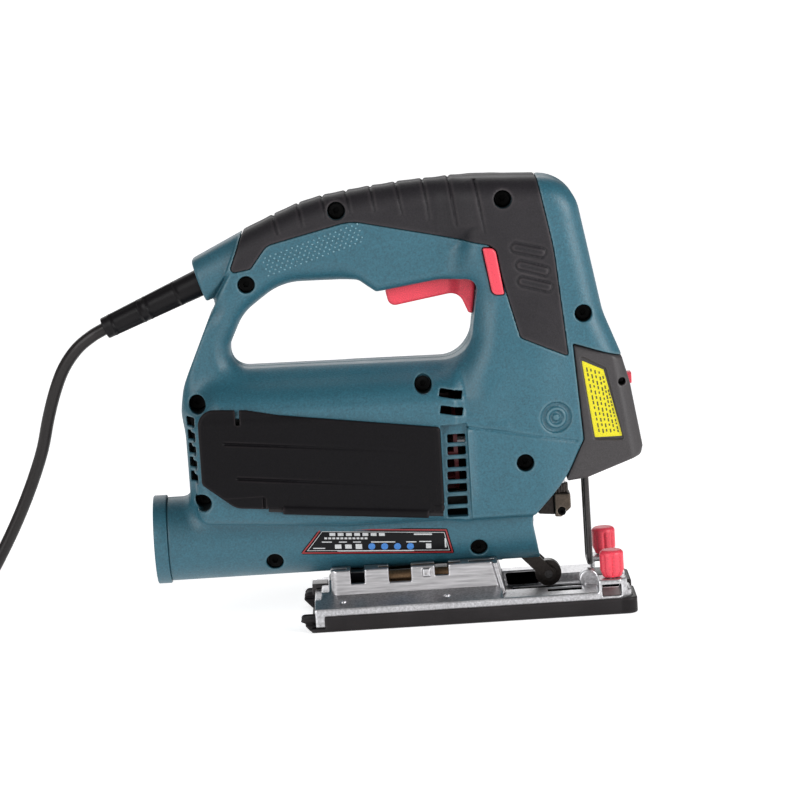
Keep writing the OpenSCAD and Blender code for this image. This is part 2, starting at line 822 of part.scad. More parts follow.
module dust_adapter() {
    color([0.24, 0.41, 0.47]) difference() {
        union() {
            rod_x(-156.5, -149.7, tube_r + 1.2, 0, tube_z);
            rod_x(-149.7, -138, port_r + 1.5, 0, tube_z);
        }
        rod_x(-157, -137, port_r, 0, tube_z);
    }
}

// ---------- shoe ----------

shoe_rear = -78.5;
shoe_front = shoe_rear + shoe_length;
channel_half = 16;
channel_floor = 8;
channel_rear = 17;
notch_rear = 21;

module shoe_plate() {
    half = shoe_width / 2;
    side_wall = 3;
    color([0.72, 0.73, 0.75]) difference() {
        union() {
            box([shoe_rear, -half, 2], [shoe_front, half, shoe_top]);
            for (side = [left, right])
                box([62, side < 0 ? -half : 24, shoe_top], [76.5, side < 0 ? -24 : half, 17.5]);
        }
        difference() {
            box([shoe_rear + side_wall, -half + side_wall, 1],
                [shoe_front - side_wall, half - side_wall, shoe_top - 3]);
            box([channel_rear - 3, -channel_half - 3, 1], [shoe_front, channel_half + 3, far]);
        }
        box([channel_rear, -channel_half, channel_floor], [far, channel_half, far]);
        box([channel_rear, -channel_half, 1], [shoe_front - 3, channel_half, 5]);
        box([notch_rear, -notch_width / 2, 0], [far, notch_width / 2, far]);
        box([63.9, -far, 9.4], [73.4, far, 14.9]);
        for (side = [left, right]) {
            rod_z(14, 18, 2.5 + run, fence_knob_x, side * fence_knob_y);
            translate([shoe_front, side * half, 0]) rotate([0, 0, 45]) cube([8, 8, 60], center = true);
        }
        rod_z(0, 12, 2, -60, 0);
    }
}

module cradle() {
    inner_r = tube_r + gap;
    wall_y = 24;
    color([0.74, 0.75, 0.77]) difference() {
        prism([[-70, shoe_top], [16.3, shoe_top], [12.4, 27.8], [-70, 27.8]], -wall_y, wall_y);
        rod_x(-71, 20, inner_r, 0, tube_z);
        difference() {
            box([-71, -wall_y + 3, shoe_top - 1], [12, wall_y - 3, 29]);
            rod_x(-72, 20, inner_r + 3, 0, tube_z);
            for (x = [-50, -5])
                box([x, -wall_y, 0], [x + 4, wall_y, 30]);
        }
        box([-59.9, -far, 20.8], [-53.2, far, 25]);
        box([-40.9, -far, 20.5], [-30, far, 25]);
        box([-18, -far, 22.5], [-11.3, far, 25]);
        box([-66, -11, 18], [-54, 11, 21.5]);
    }
}

module overshoe() {
    half = shoe_width / 2;
    clips = 2;
    color([0.2, 0.18, 0.19]) {
        difference() {
            union() {
                box([shoe_rear - 2.3, -half - 1.3, 0], [shoe_front + 2.6, half + 1.3, 2]);
                box([shoe_rear + 4.5, -half - 1.3, 2], [shoe_front + 2.6, half + 1.3, 8]);
            }
            box([shoe_rear, -half, 2], [shoe_front, half, 9]);
            box([notch_rear, -notch_width / 2, -1], [far, notch_width / 2, far]);
            for (side = [left, right])
                translate([shoe_front + 2.6, side * (half + 1.3), 0]) rotate([0, 0, 45])
                    cube([6, 6, 60], center = true);
        }
        for (i = [0:clips - 1])
            box([shoe_rear - 7.5, i == 0 ? -35 : 23, 0], [shoe_rear - 0.01, i == 0 ? -23 : 35, 7.5]);
    }
}

module bevel_lever() {
    color([0.45, 0.46, 0.48]) {
        rod_z(shoe_top + gap, 15.2, 6.5, -60, 0);
        rod_z(5, shoe_top + gap, 2 - run, -60, 0);
        box([-78, -3, shoe_top + gap], [-60, 4, 15.2]);
        box([-80, -1, shoe_top + gap], [-72, 10, 17.3]);
    }
}

module fence_knob(side) {
    ribs = 10;
    y = side * fence_knob_y;
    color([0.85, 0.18, 0.22]) {
        rod_z(15.2, 18, 2.5, fence_knob_x, y);
        difference() {
            rod_z(18, 31.5, 6, fence_knob_x, y);
            for (i = [0:ribs - 1])
                translate([fence_knob_x, y, 17]) rotate([0, 0, 360 / ribs * i])
                    translate([6.6, 0, 0]) cylinder(h = 12, r = 1.2);
        }
    }
}
module fence_knob_left() { fence_knob(left); }
module fence_knob_right() { fence_knob(right); }

// ---------- cord ----------

module strain_relief() {
    color([0.13, 0.12, 0.12]) at_relief() difference() {
        union() {
            cylinder(h = relief_length, r1 = 6.75, r2 = 5.2);
            translate([0, 0, -12]) cylinder(h = 12, r = 6.75);
        }
        translate([0, 0, -13]) cylinder(h = 14, r = cord_d / 2);
    }
}

ring_sides = 10;
function route_direction(i) = let (last = len(cord_route) - 1)
    along(cord_route[max(0, i - 1)], cord_route[min(last, i + 1)]);
// A ring of points around the route: one axis lies along Y, the other is across the route
function route_ring(i) = let (d = route_direction(i), across = cross(d, [0, 1, 0]))
    [for (k = [0:ring_sides - 1])
        cord_route[i] + cord_d / 2 * (cos(360 * k / ring_sides) * [0, 1, 0]
            + sin(360 * k / ring_sides) * across)];

module cord() {
    color([0.12, 0.11, 0.11]) {
        cord_tube();
        rod_x(plug_start[0] - tail_length, plug_start[0], cord_d / 2, plug_start[1], plug_start[2]);
    }
}

module cord_tube() {
    rings = len(cord_route);
    polyhedron(
        points = [for (i = [0:rings - 1]) each route_ring(i)],
        faces = concat(
            [[for (k = [0:ring_sides - 1]) k]],
            [for (i = [0:rings - 2], k = [0:ring_sides - 1])
                let (n = (k + 1) % ring_sides, a = i * ring_sides, b = a + ring_sides)
                [a + k, b + k, b + n, a + n]],
            [[for (k = [ring_sides - 1:-1:0]) (rings - 1) * ring_sides + k]]));
}

module coil_ring() {
    translate(coil_centre) rotate_extrude()
        translate([coil_r - coil_half, 0]) square([2 * coil_half, coil_height]);
}
module cord_coil() {
    color([0.12, 0.11, 0.11]) coil_ring();
}

module coil_tie() {
    color([0.25, 0.25, 0.26]) difference() {
        translate(coil_centre + [-coil_r, 0, 0])
            box([-coil_half - 1.2, -4, 0], [coil_half + 1.2, 4, coil_height + 1.2]);
        coil_ring();
    }
}

module plug_body() {
    color([0.12, 0.12, 0.12]) translate(plug_start) {
        rotate([0, 90, 0]) cylinder(h = 14, r1 = 5, r2 = 8);
        translate([14, 0, 0]) box([0, -13, -12.5], [28, 13, 12.5]);
    }
}

module plug_pins() {
    color([0.8, 0.8, 0.8]) for (y = [-9.5, 9.5])
        translate(plug_start + [42, y, 0]) rotate([0, 90, 0]) cylinder(h = 19, r = 2.4);
}

housing_right();
housing_left();
grip_right();
grip_left();
nose_cover();
labels();
housing_screws();
gear_case();
motor_bearings();
field_stack();
field_coils();
brush_holders();
carbon_brushes();
brush_springs();
switch_body();
cord_clamp();
capacitor();
fan_baffle();
dust_adapter();
plunger_bushes();
gear_spindle();
plunger_seal();
finger_guard();
laser_module();
hinge_pins();
trigger_spring();
armature_shaft();
armature_core();
armature_windings();
commutator();
fan();
pinion();
drive_gear();
crank_pin();
counterweight();
plunger_rod();
yoke();
blade_clamp();
clamp_screw();
roller_fork();
roller_pin();
guide_roller();
orbit_knob();
trigger();
lock_button();
laser_button();
storage_door();
shoe_plate();
cradle();
overshoe();
bevel_lever();
fence_knob_left();
fence_knob_right();
strain_relief();
cord();
cord_coil();
coil_tie();
plug_body();
plug_pins();
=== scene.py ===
"""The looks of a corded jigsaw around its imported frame.

Shapes are worked out in millimetres, in the frame's own axes: X forwards, Y left, Z up. Every mesh is
stored in metres. The moulded pieces are modelled as distance fields on a grid and then meshed.
"""
import math

import bmesh
import bpy
import numpy as np
import openvdb as vdb
from mathutils import Matrix, Vector


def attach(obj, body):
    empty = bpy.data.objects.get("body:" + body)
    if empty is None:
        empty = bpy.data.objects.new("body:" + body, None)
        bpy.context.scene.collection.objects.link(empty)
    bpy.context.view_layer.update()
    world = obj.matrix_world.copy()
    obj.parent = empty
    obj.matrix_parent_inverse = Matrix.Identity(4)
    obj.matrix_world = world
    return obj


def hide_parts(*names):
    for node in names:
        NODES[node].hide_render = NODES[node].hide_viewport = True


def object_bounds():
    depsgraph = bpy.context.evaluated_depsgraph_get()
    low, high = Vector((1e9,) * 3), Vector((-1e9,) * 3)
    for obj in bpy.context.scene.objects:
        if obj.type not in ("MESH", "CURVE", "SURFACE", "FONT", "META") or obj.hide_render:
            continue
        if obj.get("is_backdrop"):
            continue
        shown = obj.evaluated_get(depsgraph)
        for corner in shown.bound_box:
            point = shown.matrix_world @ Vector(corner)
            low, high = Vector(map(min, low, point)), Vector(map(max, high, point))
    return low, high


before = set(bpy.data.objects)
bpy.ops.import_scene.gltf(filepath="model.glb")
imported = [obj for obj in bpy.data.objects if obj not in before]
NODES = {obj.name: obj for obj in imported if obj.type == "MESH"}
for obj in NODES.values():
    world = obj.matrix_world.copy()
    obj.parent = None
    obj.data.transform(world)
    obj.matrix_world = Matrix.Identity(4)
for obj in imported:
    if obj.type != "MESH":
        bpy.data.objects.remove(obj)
CAD_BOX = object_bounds()
SCENE = bpy.context.scene
MM = 0.001
FAR = 400.0

# ---------- camera ----------

CAMERA_ELEVATION = math.radians(8.5)
CAMERA_ROLL = math.radians(3.6)
CAMERA_DISTANCE = 1.8
CAMERA_TARGET = Vector((-0.030, 0, 0.108))
CAMERA_LENS = 162


def add_camera():
    forward = Vector((0, math.cos(CAMERA_ELEVATION), -math.sin(CAMERA_ELEVATION)))
    level = Vector((1, 0, 0))
    lift = level.cross(forward)
    right = math.cos(CAMERA_ROLL) * level - math.sin(CAMERA_ROLL) * lift
    up = math.sin(CAMERA_ROLL) * level + math.cos(CAMERA_ROLL) * lift
    data = bpy.data.cameras.new("camera")
    data.lens, data.sensor_width, data.clip_end = CAMERA_LENS, 36, 100
    camera = bpy.data.objects.new("camera", data)
    SCENE.collection.objects.link(camera)
    turn = Matrix((right, up, -forward)).transposed().to_4x4()
    camera.matrix_world = Matrix.Translation(CAMERA_TARGET - CAMERA_DISTANCE * forward) @ turn
    SCENE.camera = camera


add_camera()

# ---------- materials ----------


def node(tree, kind, **inputs):
    """A shader node; keys with a leading underscore set properties, the others set sockets."""
    made = tree.nodes.new("ShaderNode" + kind)
    for key, value in inputs.items():
        if key.startswith("_"):
            setattr(made, key[1:], value)
        elif isinstance(value, bpy.types.NodeSocket):
            tree.links.new(value, made.inputs[key.replace("__", " ")])
        else:
            made.inputs[key.replace("__", " ")].default_value = value
    return made


def shades(colour, spread):
    """A darker and a lighter version of a colour."""
    low = [c * (1 - spread) for c in colour] + [1]
    high = [min(1, c * (1 + spread)) for c in colour] + [1]
    return low, high


def finish_of(
    name, colour, rough=0.5, grain=0.5, height=0.03, spread=0.06, metallic=0.0, stretch=(1, 1, 1),
    specular=0.5, coat=0.0, edge=None, dark=None, painted_shade_depths=(1.2, 2.6), rough_spread=0.08, blotch=14.0,
):
    """A procedural finish. grain and blotch are sizes in millimetres, height is the bump's in millimetres.

    edge is the colour mixed in on convex edges, partly wear and partly painted highlight; dark is painted shade, the
    colour mixed in deep inside openings over the given range of depths.
    """
    material = bpy.data.materials.new(name)
    material.use_nodes = True
    tree = material.node_tree
    bsdf = tree.nodes["Principled BSDF"]
    place = node(tree, "TexCoord").outputs["Object"]
    stretched = node(tree, "Mapping", Vector=place, Scale=stretch).outputs["Vector"]
    broad = node(tree, "TexNoise", Vector=place, Scale=1000 / blotch, Detail=4.0, Roughness=0.55)
    fine = node(tree, "TexNoise", Vector=stretched, Scale=1000 / grain, Detail=3.0, Roughness=0.6)
    low, high = shades(colour, spread)
    tone = node(tree, "Mix", _data_type="RGBA", Factor=broad.outputs["Fac"])
    tone.inputs["A"].default_value, tone.inputs["B"].default_value = low, high
    speck = node(tree, "MapRange", Value=fine.outputs["Fac"])
    speck.inputs["To Min"].default_value, speck.inputs["To Max"].default_value = 0.3, 1.7
    toned = node(tree, "VectorMath", _operation="SCALE", Vector=tone.outputs["Result"], Scale=speck.outputs["Result"])
    result = toned.outputs["Vector"]
    roughness = node(tree, "MapRange", Value=broad.outputs["Fac"])
    roughness.inputs["To Min"].default_value = rough - rough_spread
    roughness.inputs["To Max"].default_value = rough + rough_spread
    rough_value = roughness.outputs["Result"]
    # Partly wear and partly painted highlight: convex edges are mixed towards the lighter edge colour.
    if edge is not None:
        edge_wear_and_highlight = node(tree, "Attribute", _attribute_name="edge")
        wear_and_highlight_mix = node(tree, "Math", _operation="MULTIPLY")
        tree.links.new(edge_wear_and_highlight.outputs["Fac"], wear_and_highlight_mix.inputs[0])
        tree.links.new(broad.outputs["Fac"], wear_and_highlight_mix.inputs[1])
        mixed = node(tree, "Mix", _data_type="RGBA", Factor=wear_and_highlight_mix.outputs["Value"])
        tree.links.new(result, mixed.inputs["A"])
        mixed.inputs["B"].default_value = (*edge, 1)
        result = mixed.outputs["Result"]
    # Painted shade: the colour goes towards dark with depth below the outer surface.
    if dark is not None:
        depth = node(tree, "Attribute", _attribute_name="depth")
        shade = node(tree, "MapRange", Value=depth.outputs["Fac"])
        shade.inputs["From Min"].default_value, shade.inputs["From Max"].default_value = painted_shade_depths
        mixed = node(tree, "Mix", _data_type="RGBA", Factor=shade.outputs["Result"])
        tree.links.new(result, mixed.inputs["A"])
        mixed.inputs["B"].default_value = (*dark, 1)
        result = mixed.outputs["Result"]
    tree.links.new(result, bsdf.inputs["Base Color"])
    tree.links.new(rough_value, bsdf.inputs["Roughness"])
    bump = node(tree, "Bump", Height=fine.outputs["Fac"], Distance=height * MM, Strength=1.0)
    tree.links.new(bump.outputs["Normal"], bsdf.inputs["Normal"])
    bsdf.inputs["Metallic"].default_value = metallic
    bsdf.inputs["Specular IOR Level"].default_value = specular
    if coat:
        bsdf.inputs["Coat Weight"].default_value = coat
        bsdf.inputs["Coat Roughness"].default_value = 0.2
    return material


# In the finishes below, each dark colour is painted shade deep inside openings and each edge colour is partly wear and
# partly painted highlight on convex edges; this near-black is painted shade.
PAINTED_SHADE_BLACK = (0.004, 0.004, 0.005)
TEAL = finish_of(
    "teal_plastic", (0.0175, 0.091, 0.128), rough=0.44, grain=0.9, height=0.14, spread=0.05, specular=0.55,
    edge=(0.09, 0.17, 0.2), dark=(0.004, 0.009, 0.011),
)
# The grip's edge colour is partly wear and partly painted highlight, the light lines along its grooves' edges.
GRIP = finish_of(
    "grip_rubber", (0.0125, 0.011, 0.0135), rough=0.55, grain=0.75, height=0.12, spread=0.1, specular=0.26,
    edge=(0.066, 0.057, 0.06), dark=PAINTED_SHADE_BLACK,
)
CHARCOAL = finish_of(
    "charcoal_plastic", (0.010, 0.009, 0.010), rough=0.5, grain=0.6, height=0.04, spread=0.08, specular=0.25,
    edge=(0.05, 0.042, 0.044), dark=PAINTED_SHADE_BLACK,
)
NOSE = finish_of(
    "nose_plastic", (0.030, 0.0265, 0.028), rough=0.48, grain=0.6, height=0.04, spread=0.08,
    edge=(0.06, 0.052, 0.054), dark=PAINTED_SHADE_BLACK,
)
DOOR = finish_of(
    "door_plastic", (0.0042, 0.0037, 0.0046), rough=0.5, grain=0.7, height=0.07, spread=0.1, specular=0.11,
    edge=(0.045, 0.036, 0.038), dark=PAINTED_SHADE_BLACK,
)
RED = finish_of(
    "red_plastic", (0.68, 0.045, 0.075), rough=0.42, grain=0.5, height=0.02, spread=0.05,
    edge=(0.75, 0.14, 0.15), dark=(0.25, 0.01, 0.015),
)
# The cast plate's painted shade comes in shallow and turns its channel, openings and window black; its pale edge colour
# is partly wear and partly painted highlight.
SHOE = finish_of(
    "cast_aluminium", (0.50, 0.495, 0.51), rough=0.38, grain=1.2, height=0.02, spread=0.1,
    metallic=1.0, blotch=20, edge=(0.85, 0.85, 0.87), dark=PAINTED_SHADE_BLACK, painted_shade_depths=(0.25, 0.9),
)
BRUSHED = finish_of(
    "brushed_aluminium", (0.43, 0.42, 0.43), rough=0.36, grain=0.9, height=0.015, spread=0.08,
    metallic=1.0, stretch=(0.06, 1, 1), blotch=16, edge=(0.8, 0.8, 0.82), dark=PAINTED_SHADE_BLACK, painted_shade_depths=(1.4, 3.2),
)
OVERSHOE = finish_of(
    "overshoe_plastic", (0.0075, 0.006, 0.0066), rough=0.45, grain=0.6, height=0.04, spread=0.12, specular=0.18,
    edge=(0.05, 0.045, 0.047),
)
BURNISHED = finish_of(
    "burnished_steel", (0.027, 0.023, 0.021), rough=0.34, grain=1.0, height=0.03, spread=0.25,
    metallic=0.9, blotch=5, edge=(0.12, 0.1, 0.09),
)
STEEL = finish_of(
    "steel", (0.52, 0.52, 0.54), rough=0.28, grain=0.8, height=0.01, spread=0.1, metallic=1.0, blotch=8,
)
DARK_STEEL = finish_of(
    "dark_steel", (0.05, 0.047, 0.047), rough=0.36, grain=0.8, height=0.02, spread=0.2, metallic=0.9, blotch=6,
)
BLACK_STEEL = finish_of(
    "black_steel", (0.004, 0.004, 0.004), rough=0.5, grain=0.5, height=0.015, spread=0.2, specular=0.04, blotch=4,
)
CORD = finish_of(
    "cord_rubber", (0.011, 0.0085, 0.0085), specular=0.35, rough=0.36, grain=0.9, height=0.02, spread=0.14, blotch=9,
    stretch=(1, 1, 1),
)
RELIEF = finish_of(
    "relief_rubber", (0.0055, 0.0048, 0.0056), specular=0.17, rough=0.4, grain=0.6, height=0.03, spread=0.12, blotch=7,
    edge=(0.11, 0.1, 0.1),
)
YELLOW = finish_of("label_yellow", (0.62, 0.55, 0.004), rough=0.38, grain=0.4, height=0.004, spread=0.02)
LABEL_BLACK = finish_of("label_black", (0.005, 0.005, 0.006), rough=0.35, specular=0.15, grain=0.4, height=0.004, spread=0.1)
LABEL_WHITE = finish_of("label_white", (0.5, 0.51, 0.52), rough=0.4, grain=0.4, height=0.004, spread=0.03)
LABEL_RED = finish_of("label_red", (0.28, 0.02, 0.024), rough=0.35, grain=0.4, height=0.004, spread=0.05)
LABEL_BLUE = finish_of("label_blue", (0.04, 0.18, 0.5), rough=0.35, grain=0.4, height=0.004, spread=0.08)
PRINT = finish_of("print_grey", (0.06, 0.055, 0.01), rough=0.5, grain=0.4, height=0.004, spread=0.1)
CLAMP = finish_of(
    "clamp_steel", (0.085, 0.067, 0.052), rough=0.36, grain=0.8, height=0.04, spread=0.3, metallic=0.8, blotch=3,
    edge=(0.4, 0.34, 0.28),
)
BRONZE = finish_of("bronze", (0.20, 0.125, 0.07), rough=0.4, grain=0.8, height=0.02, spread=0.15, metallic=0.9)
COPPER = finish_of(
    "copper_wire", (0.5, 0.14, 0.06), rough=0.35, grain=0.5, height=0.08, spread=0.2, metallic=0.8,
    stretch=(1, 6, 6),
)
LAMINATION = finish_of(
    "lamination", (0.2, 0.2, 0.21), rough=0.5, grain=0.6, height=0.05, spread=0.15, metallic=0.9,
    stretch=(8, 0.2, 0.2),
)
CAST = finish_of("cast_metal", (0.2, 0.2, 0.21), rough=0.5, grain=1.4, height=0.05, spread=0.12, metallic=0.9)
CARBON = finish_of("carbon", (0.02, 0.02, 0.022), rough=0.6, grain=0.5, height=0.03, spread=0.2)
FAN_RED = finish_of("fan_plastic", (0.085, 0.006, 0.009), rough=0.5, grain=0.6, height=0.02, spread=0.1)
# Painted highlight: the dots are a lighter teal than the housing, standing in for the light they catch.
DOTS_PAINTED_HIGHLIGHT = finish_of(
    "teal_dots_painted_highlight", (0.10, 0.22, 0.27), rough=0.25, grain=0.75, height=0.02, spread=0.05, specular=0.8,
)
FILM = finish_of("capacitor_film", (0.7, 0.5, 0.06), rough=0.3, grain=2.0, height=0.02, spread=0.08)

# Finishes of the CAD nodes that stay, by the name that each keeps
NODE_FINISH = {
    "housing_screws": BLACK_STEEL, "gear_case": CAST, "motor_bearings": STEEL, "field_stack": LAMINATION,
    "field_coils": COPPER, "brush_holders": BRONZE, "carbon_brushes": CARBON, "brush_springs": STEEL,
    "switch_body": CHARCOAL, "cord_clamp": CHARCOAL, "capacitor": FILM, "fan_baffle": CHARCOAL,
    "plunger_bushes": BRONZE, "gear_spindle": STEEL, "plunger_seal": GRIP, "laser_module": BRONZE,
    "hinge_pins": CHARCOAL, "trigger_spring": STEEL, "armature_shaft": STEEL, "armature_core": LAMINATION,
    "armature_windings": COPPER, "commutator": COPPER, "fan": FAN_RED, "pinion": DARK_STEEL,
    "drive_gear": DARK_STEEL, "crank_pin": STEEL, "counterweight": DARK_STEEL, "plunger_rod": STEEL,
    "yoke": DARK_STEEL, "clamp_screw": BLACK_STEEL, "roller_pin": DARK_STEEL,
}
for name, material in NODE_FINISH.items():
    NODES[name].data.materials.clear()
    NODES[name].data.materials.append(material)

# ---------- pieces from meshes ----------


def add_piece(name, points, faces, material, body, replaced=(), smooth=True):
    """A piece from points in millimetres. faces is a list of index tuples, or an array of quads."""
    mesh = bpy.data.meshes.new(name)
    if isinstance(faces, np.ndarray):
        count = len(faces)
        mesh.vertices.add(len(points))
        mesh.vertices.foreach_set("co", (np.asarray(points, np.float32) * MM).ravel())
        mesh.loops.add(count * 4)
        mesh.loops.foreach_set("vertex_index", faces.astype(np.int32).ravel())
        mesh.polygons.add(count)
        mesh.polygons.foreach_set("loop_start", np.arange(0, count * 4, 4, dtype=np.int32))
        mesh.update(calc_edges=True)
    else:
        mesh.from_pydata([tuple(c * MM for c in p) for p in points], [], faces)
    mesh.validate()
    mesh.materials.append(material)
    mesh.polygons.foreach_set("use_smooth", [smooth] * len(mesh.polygons))
    piece = bpy.data.objects.new(name, mesh)
    SCENE.collection.objects.link(piece)
    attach(piece, body)
    if replaced:
        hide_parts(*replaced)
    return piece


def bevelled(name, node_name, width, material, body, segments=3, sharp=32):
    """The CAD node's own shape with its edges rounded, as a piece that replaces it."""
    mesh = NODES[node_name].data.copy()
    work = bmesh.new()
    work.from_mesh(mesh)
    bmesh.ops.remove_doubles(work, verts=work.verts, dist=2e-6)
    bmesh.ops.dissolve_limit(
        work, angle_limit=math.radians(0.8), verts=work.verts, edges=work.edges, delimit={"NORMAL"}
    )
    edges = [e for e in work.edges if len(e.link_faces) == 2 and e.calc_face_angle(0) > math.radians(sharp)]
    bmesh.ops.bevel(
        work, geom=edges, offset=width * MM, segments=segments, profile=0.6, affect="EDGES", clamp_overlap=True
    )
    bmesh.ops.remove_doubles(work, verts=work.verts, dist=1e-6)
    bmesh.ops.recalc_face_normals(work, faces=work.faces)
    work.to_mesh(mesh)
    work.free()
    mesh.materials.clear()
    mesh.materials.append(material)
    mesh.polygons.foreach_set("use_smooth", [True] * len(mesh.polygons))
    mesh.set_sharp_from_angle(angle=math.radians(34))
    piece = bpy.data.objects.new(name, mesh)
    SCENE.collection.objects.link(piece)
    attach(piece, body)
    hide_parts(node_name)
    return piece


# ---------- distance fields ----------


def outline(corners, step=5.0):
    """The points of an outline of [x, z, corner radius], its arcs cut every few degrees."""
    points = []
    count = len(corners)
    for i in range(count):
        a, b, c = (Vector(corners[(i + k) % count][:2]) for k in (-1, 0, 1))
        radius = corners[i][2]
        u, v = (b - a).normalized(), (c - b).normalized()
        side = 1 if u.x * v.y - u.y * v.x > 0 else -1
        angle = math.acos(max(-1, min(1, u.dot(v))))
        if radius <= 0 or angle < 0.01:
            points.append(tuple(b))
            continue
        start = b - u * radius * math.tan(angle / 2)
        centre = start + radius * side * Vector((-u.y, u.x))
        arm = start - centre
        steps = max(3, math.ceil(math.degrees(angle) / step))
        for k in range(steps + 1):
            t = side * angle * k / steps
            points.append((
                centre.x + arm.x * math.cos(t) - arm.y * math.sin(t),
                centre.y + arm.x * math.sin(t) + arm.y * math.cos(t),
            ))
    return points


def distance_to(points, x, z):
    """Signed distance from places to a closed outline, negative inside it."""
    nearest = np.full(x.shape, 1e9, np.float32)
    inside = np.zeros(x.shape, bool)
    for (ax, az), (bx, bz) in zip(points, points[1:] + points[:1]):
        ex, ez = bx - ax, bz - az
        wx, wz = x - ax, z - az
        t = np.clip((wx * ex + wz * ez) / (ex * ex + ez * ez + 1e-12), 0, 1)
        nearest = np.minimum(nearest, (wx - ex * t) ** 2 + (wz - ez * t) ** 2)
        if az != bz:
            inside ^= ((az > z) != (bz > z)) & (x < ex * (z - az) / ez + ax)
    nearest = np.sqrt(nearest)
    return np.where(inside, -nearest, nearest).astype(np.float32)


def ease(t):
    t = np.clip(t, 0, 1)
    return t * t * (3 - 2 * t)


def blend(a, b, t):
    return a + (b - a) * t


def join(a, b, k):
    """The union of two fields with a fillet of about k."""
    h = np.clip(0.5 + 0.5 * (b - a) / k, 0, 1)
    return b + (a - b) * h - k * h * (1 - h)


def both(a, b, k):
    """Where both fields are, with the edge between them rounded by about k."""
    return -join(-a, -b, k)


def cut(a, b, k):
    """The first field less the second, with the edge rounded by about k."""
    return -join(-a, b, k)


def plate(flat, across, half, radius):
    """An outline's field given thickness: |across| < half, with rounded edges."""
    q1, q2 = flat + radius, across - half + radius
    outside = np.sqrt(np.maximum(q1, 0) ** 2 + np.maximum(q2, 0) ** 2)
    return np.minimum(np.maximum(q1, q2), 0) + outside - radius


def span(value, low, high):
    """Distance to the space between two values, negative between them."""
    return np.maximum(low - value, value - high)


def capsule(x, z, a, b):
    """Distance to the line from a to b, and how far along it each place is, from 0 to 1."""
    ex, ez = b[0] - a[0], b[1] - a[1]
    t = np.clip(((x - a[0]) * ex + (z - a[1]) * ez) / (ex * ex + ez * ez), 0, 1)
    return np.hypot(x - a[0] - ex * t, z - a[1] - ez * t), t


class Block:
    """A grid of places, in millimetres, to model on."""

    def __init__(self, low, high, pitch):
        self.low, self.pitch = low, pitch
        self.count = [int(math.ceil((b - a) / pitch)) + 1 for a, b in zip(low, high)]
        axes = [a + pitch * np.arange(n, dtype=np.float32) for a, n in zip(low, self.count)]
        self.x, self.y, self.z = axes[0][:, None, None], axes[1][None, :, None], axes[2][None, None, :]

    def flat(self, corners):
        """Signed distance to an XZ outline, the same at every y."""
        x, z = np.broadcast_arrays(self.x[:, 0, :], self.z[0])
        return distance_to(outline(corners), x, z)[:, None, :]

    def at(self, field, points):
        """The field's value at each point, blended from the places round it."""
        spots = (points - np.array(self.low, np.float32)) / self.pitch
        last = np.array(self.count) - 2
        base = np.clip(np.floor(spots).astype(int), 0, last)
        part = np.clip(spots - base, 0, 1)
        total = np.zeros(len(points), np.float32)
        for corner in range(8):
            step = np.array((corner & 1, corner >> 1 & 1, corner >> 2 & 1))
            weight = np.prod(np.where(step, part, 1 - part), axis=1)
            i, j, k = (base + step).T
            total += weight * field[i, j, k]
        return total

    def surface(self, field, x, z, side=-1):
        """The y at which a column of places along Y first meets the field, from outside."""
        i = int(round((x - self.low[0]) / self.pitch))
        k = int(round((z - self.low[2]) / self.pitch))
        column, y = field[i, :, k], self.y[0, :, 0]
        inside = np.nonzero(column < 0)[0]
        j = inside[0] if side < 0 else inside[-1]
        n = j - 1 if side < 0 else j + 1
        return float(y[n] + (y[j] - y[n]) * column[n] / (column[n] - column[j]))

    def mesh(self, field, adaptivity=0.0, mirror=False):
        """Points and quads of the field's surface."""
        reach = 3 * self.pitch
        grid = vdb.FloatGrid(reach)
        grid.copyFromArray(np.clip(field, -reach, reach).astype(np.float32))
        points, triangles, quads = grid.convertToPolygons(isovalue=0.0, adaptivity=adaptivity)
        points = points * self.pitch + np.array(self.low, np.float32)
        faces = [list(map(int, q)) for q in quads] if len(triangles) else quads
        if len(triangles):
            faces += [list(map(int, t)) for t in triangles]
        return points, faces


def shell_piece(name, block, field, outer, material, body, replaced=(), mirror=False):
    """Meshes a field as a piece, with how deep and how sharp its surface is at each point."""
    points, faces = block.mesh(field)
    depth = -block.at(outer, points)
    step = 2
    around = [
        block.at(field, points + step * block.pitch * np.array(d, np.float32))
        for d in ((1, 0, 0), (-1, 0, 0), (0, 1, 0), (0, -1, 0), (0, 0, 1), (0, 0, -1))
    ]
    bend = (sum(around) - 6 * block.at(field, points)) / (step * block.pitch)
    a, b, c, d = (points[faces[:, k]] for k in range(4))
    volume = np.einsum("ij,ij->i", a, np.cross(b, c)).sum() + np.einsum("ij,ij->i", a, np.cross(c, d)).sum()
    if (volume < 0) != mirror:
        faces = faces[:, ::-1]
    if mirror:
        points = points * np.array((1, -1, 1), np.float32)
    piece = add_piece(name, points, np.ascontiguousarray(faces), material, body, replaced)
    # depth drives the painted shade inside openings; edge, from how sharply the surface bends, drives the lighter edge
    # colour, partly wear and partly painted highlight.
    if len(piece.data.vertices) == len(points):
        for key, values in (("depth", depth), ("edge", np.clip(bend * 0.7 - 0.25, 0, 1))):
            layer = piece.data.attributes.new(key, "FLOAT", "POINT")
            layer.data.foreach_set("value", values.astype(np.float32))
    return piece


# ---------- cord ----------

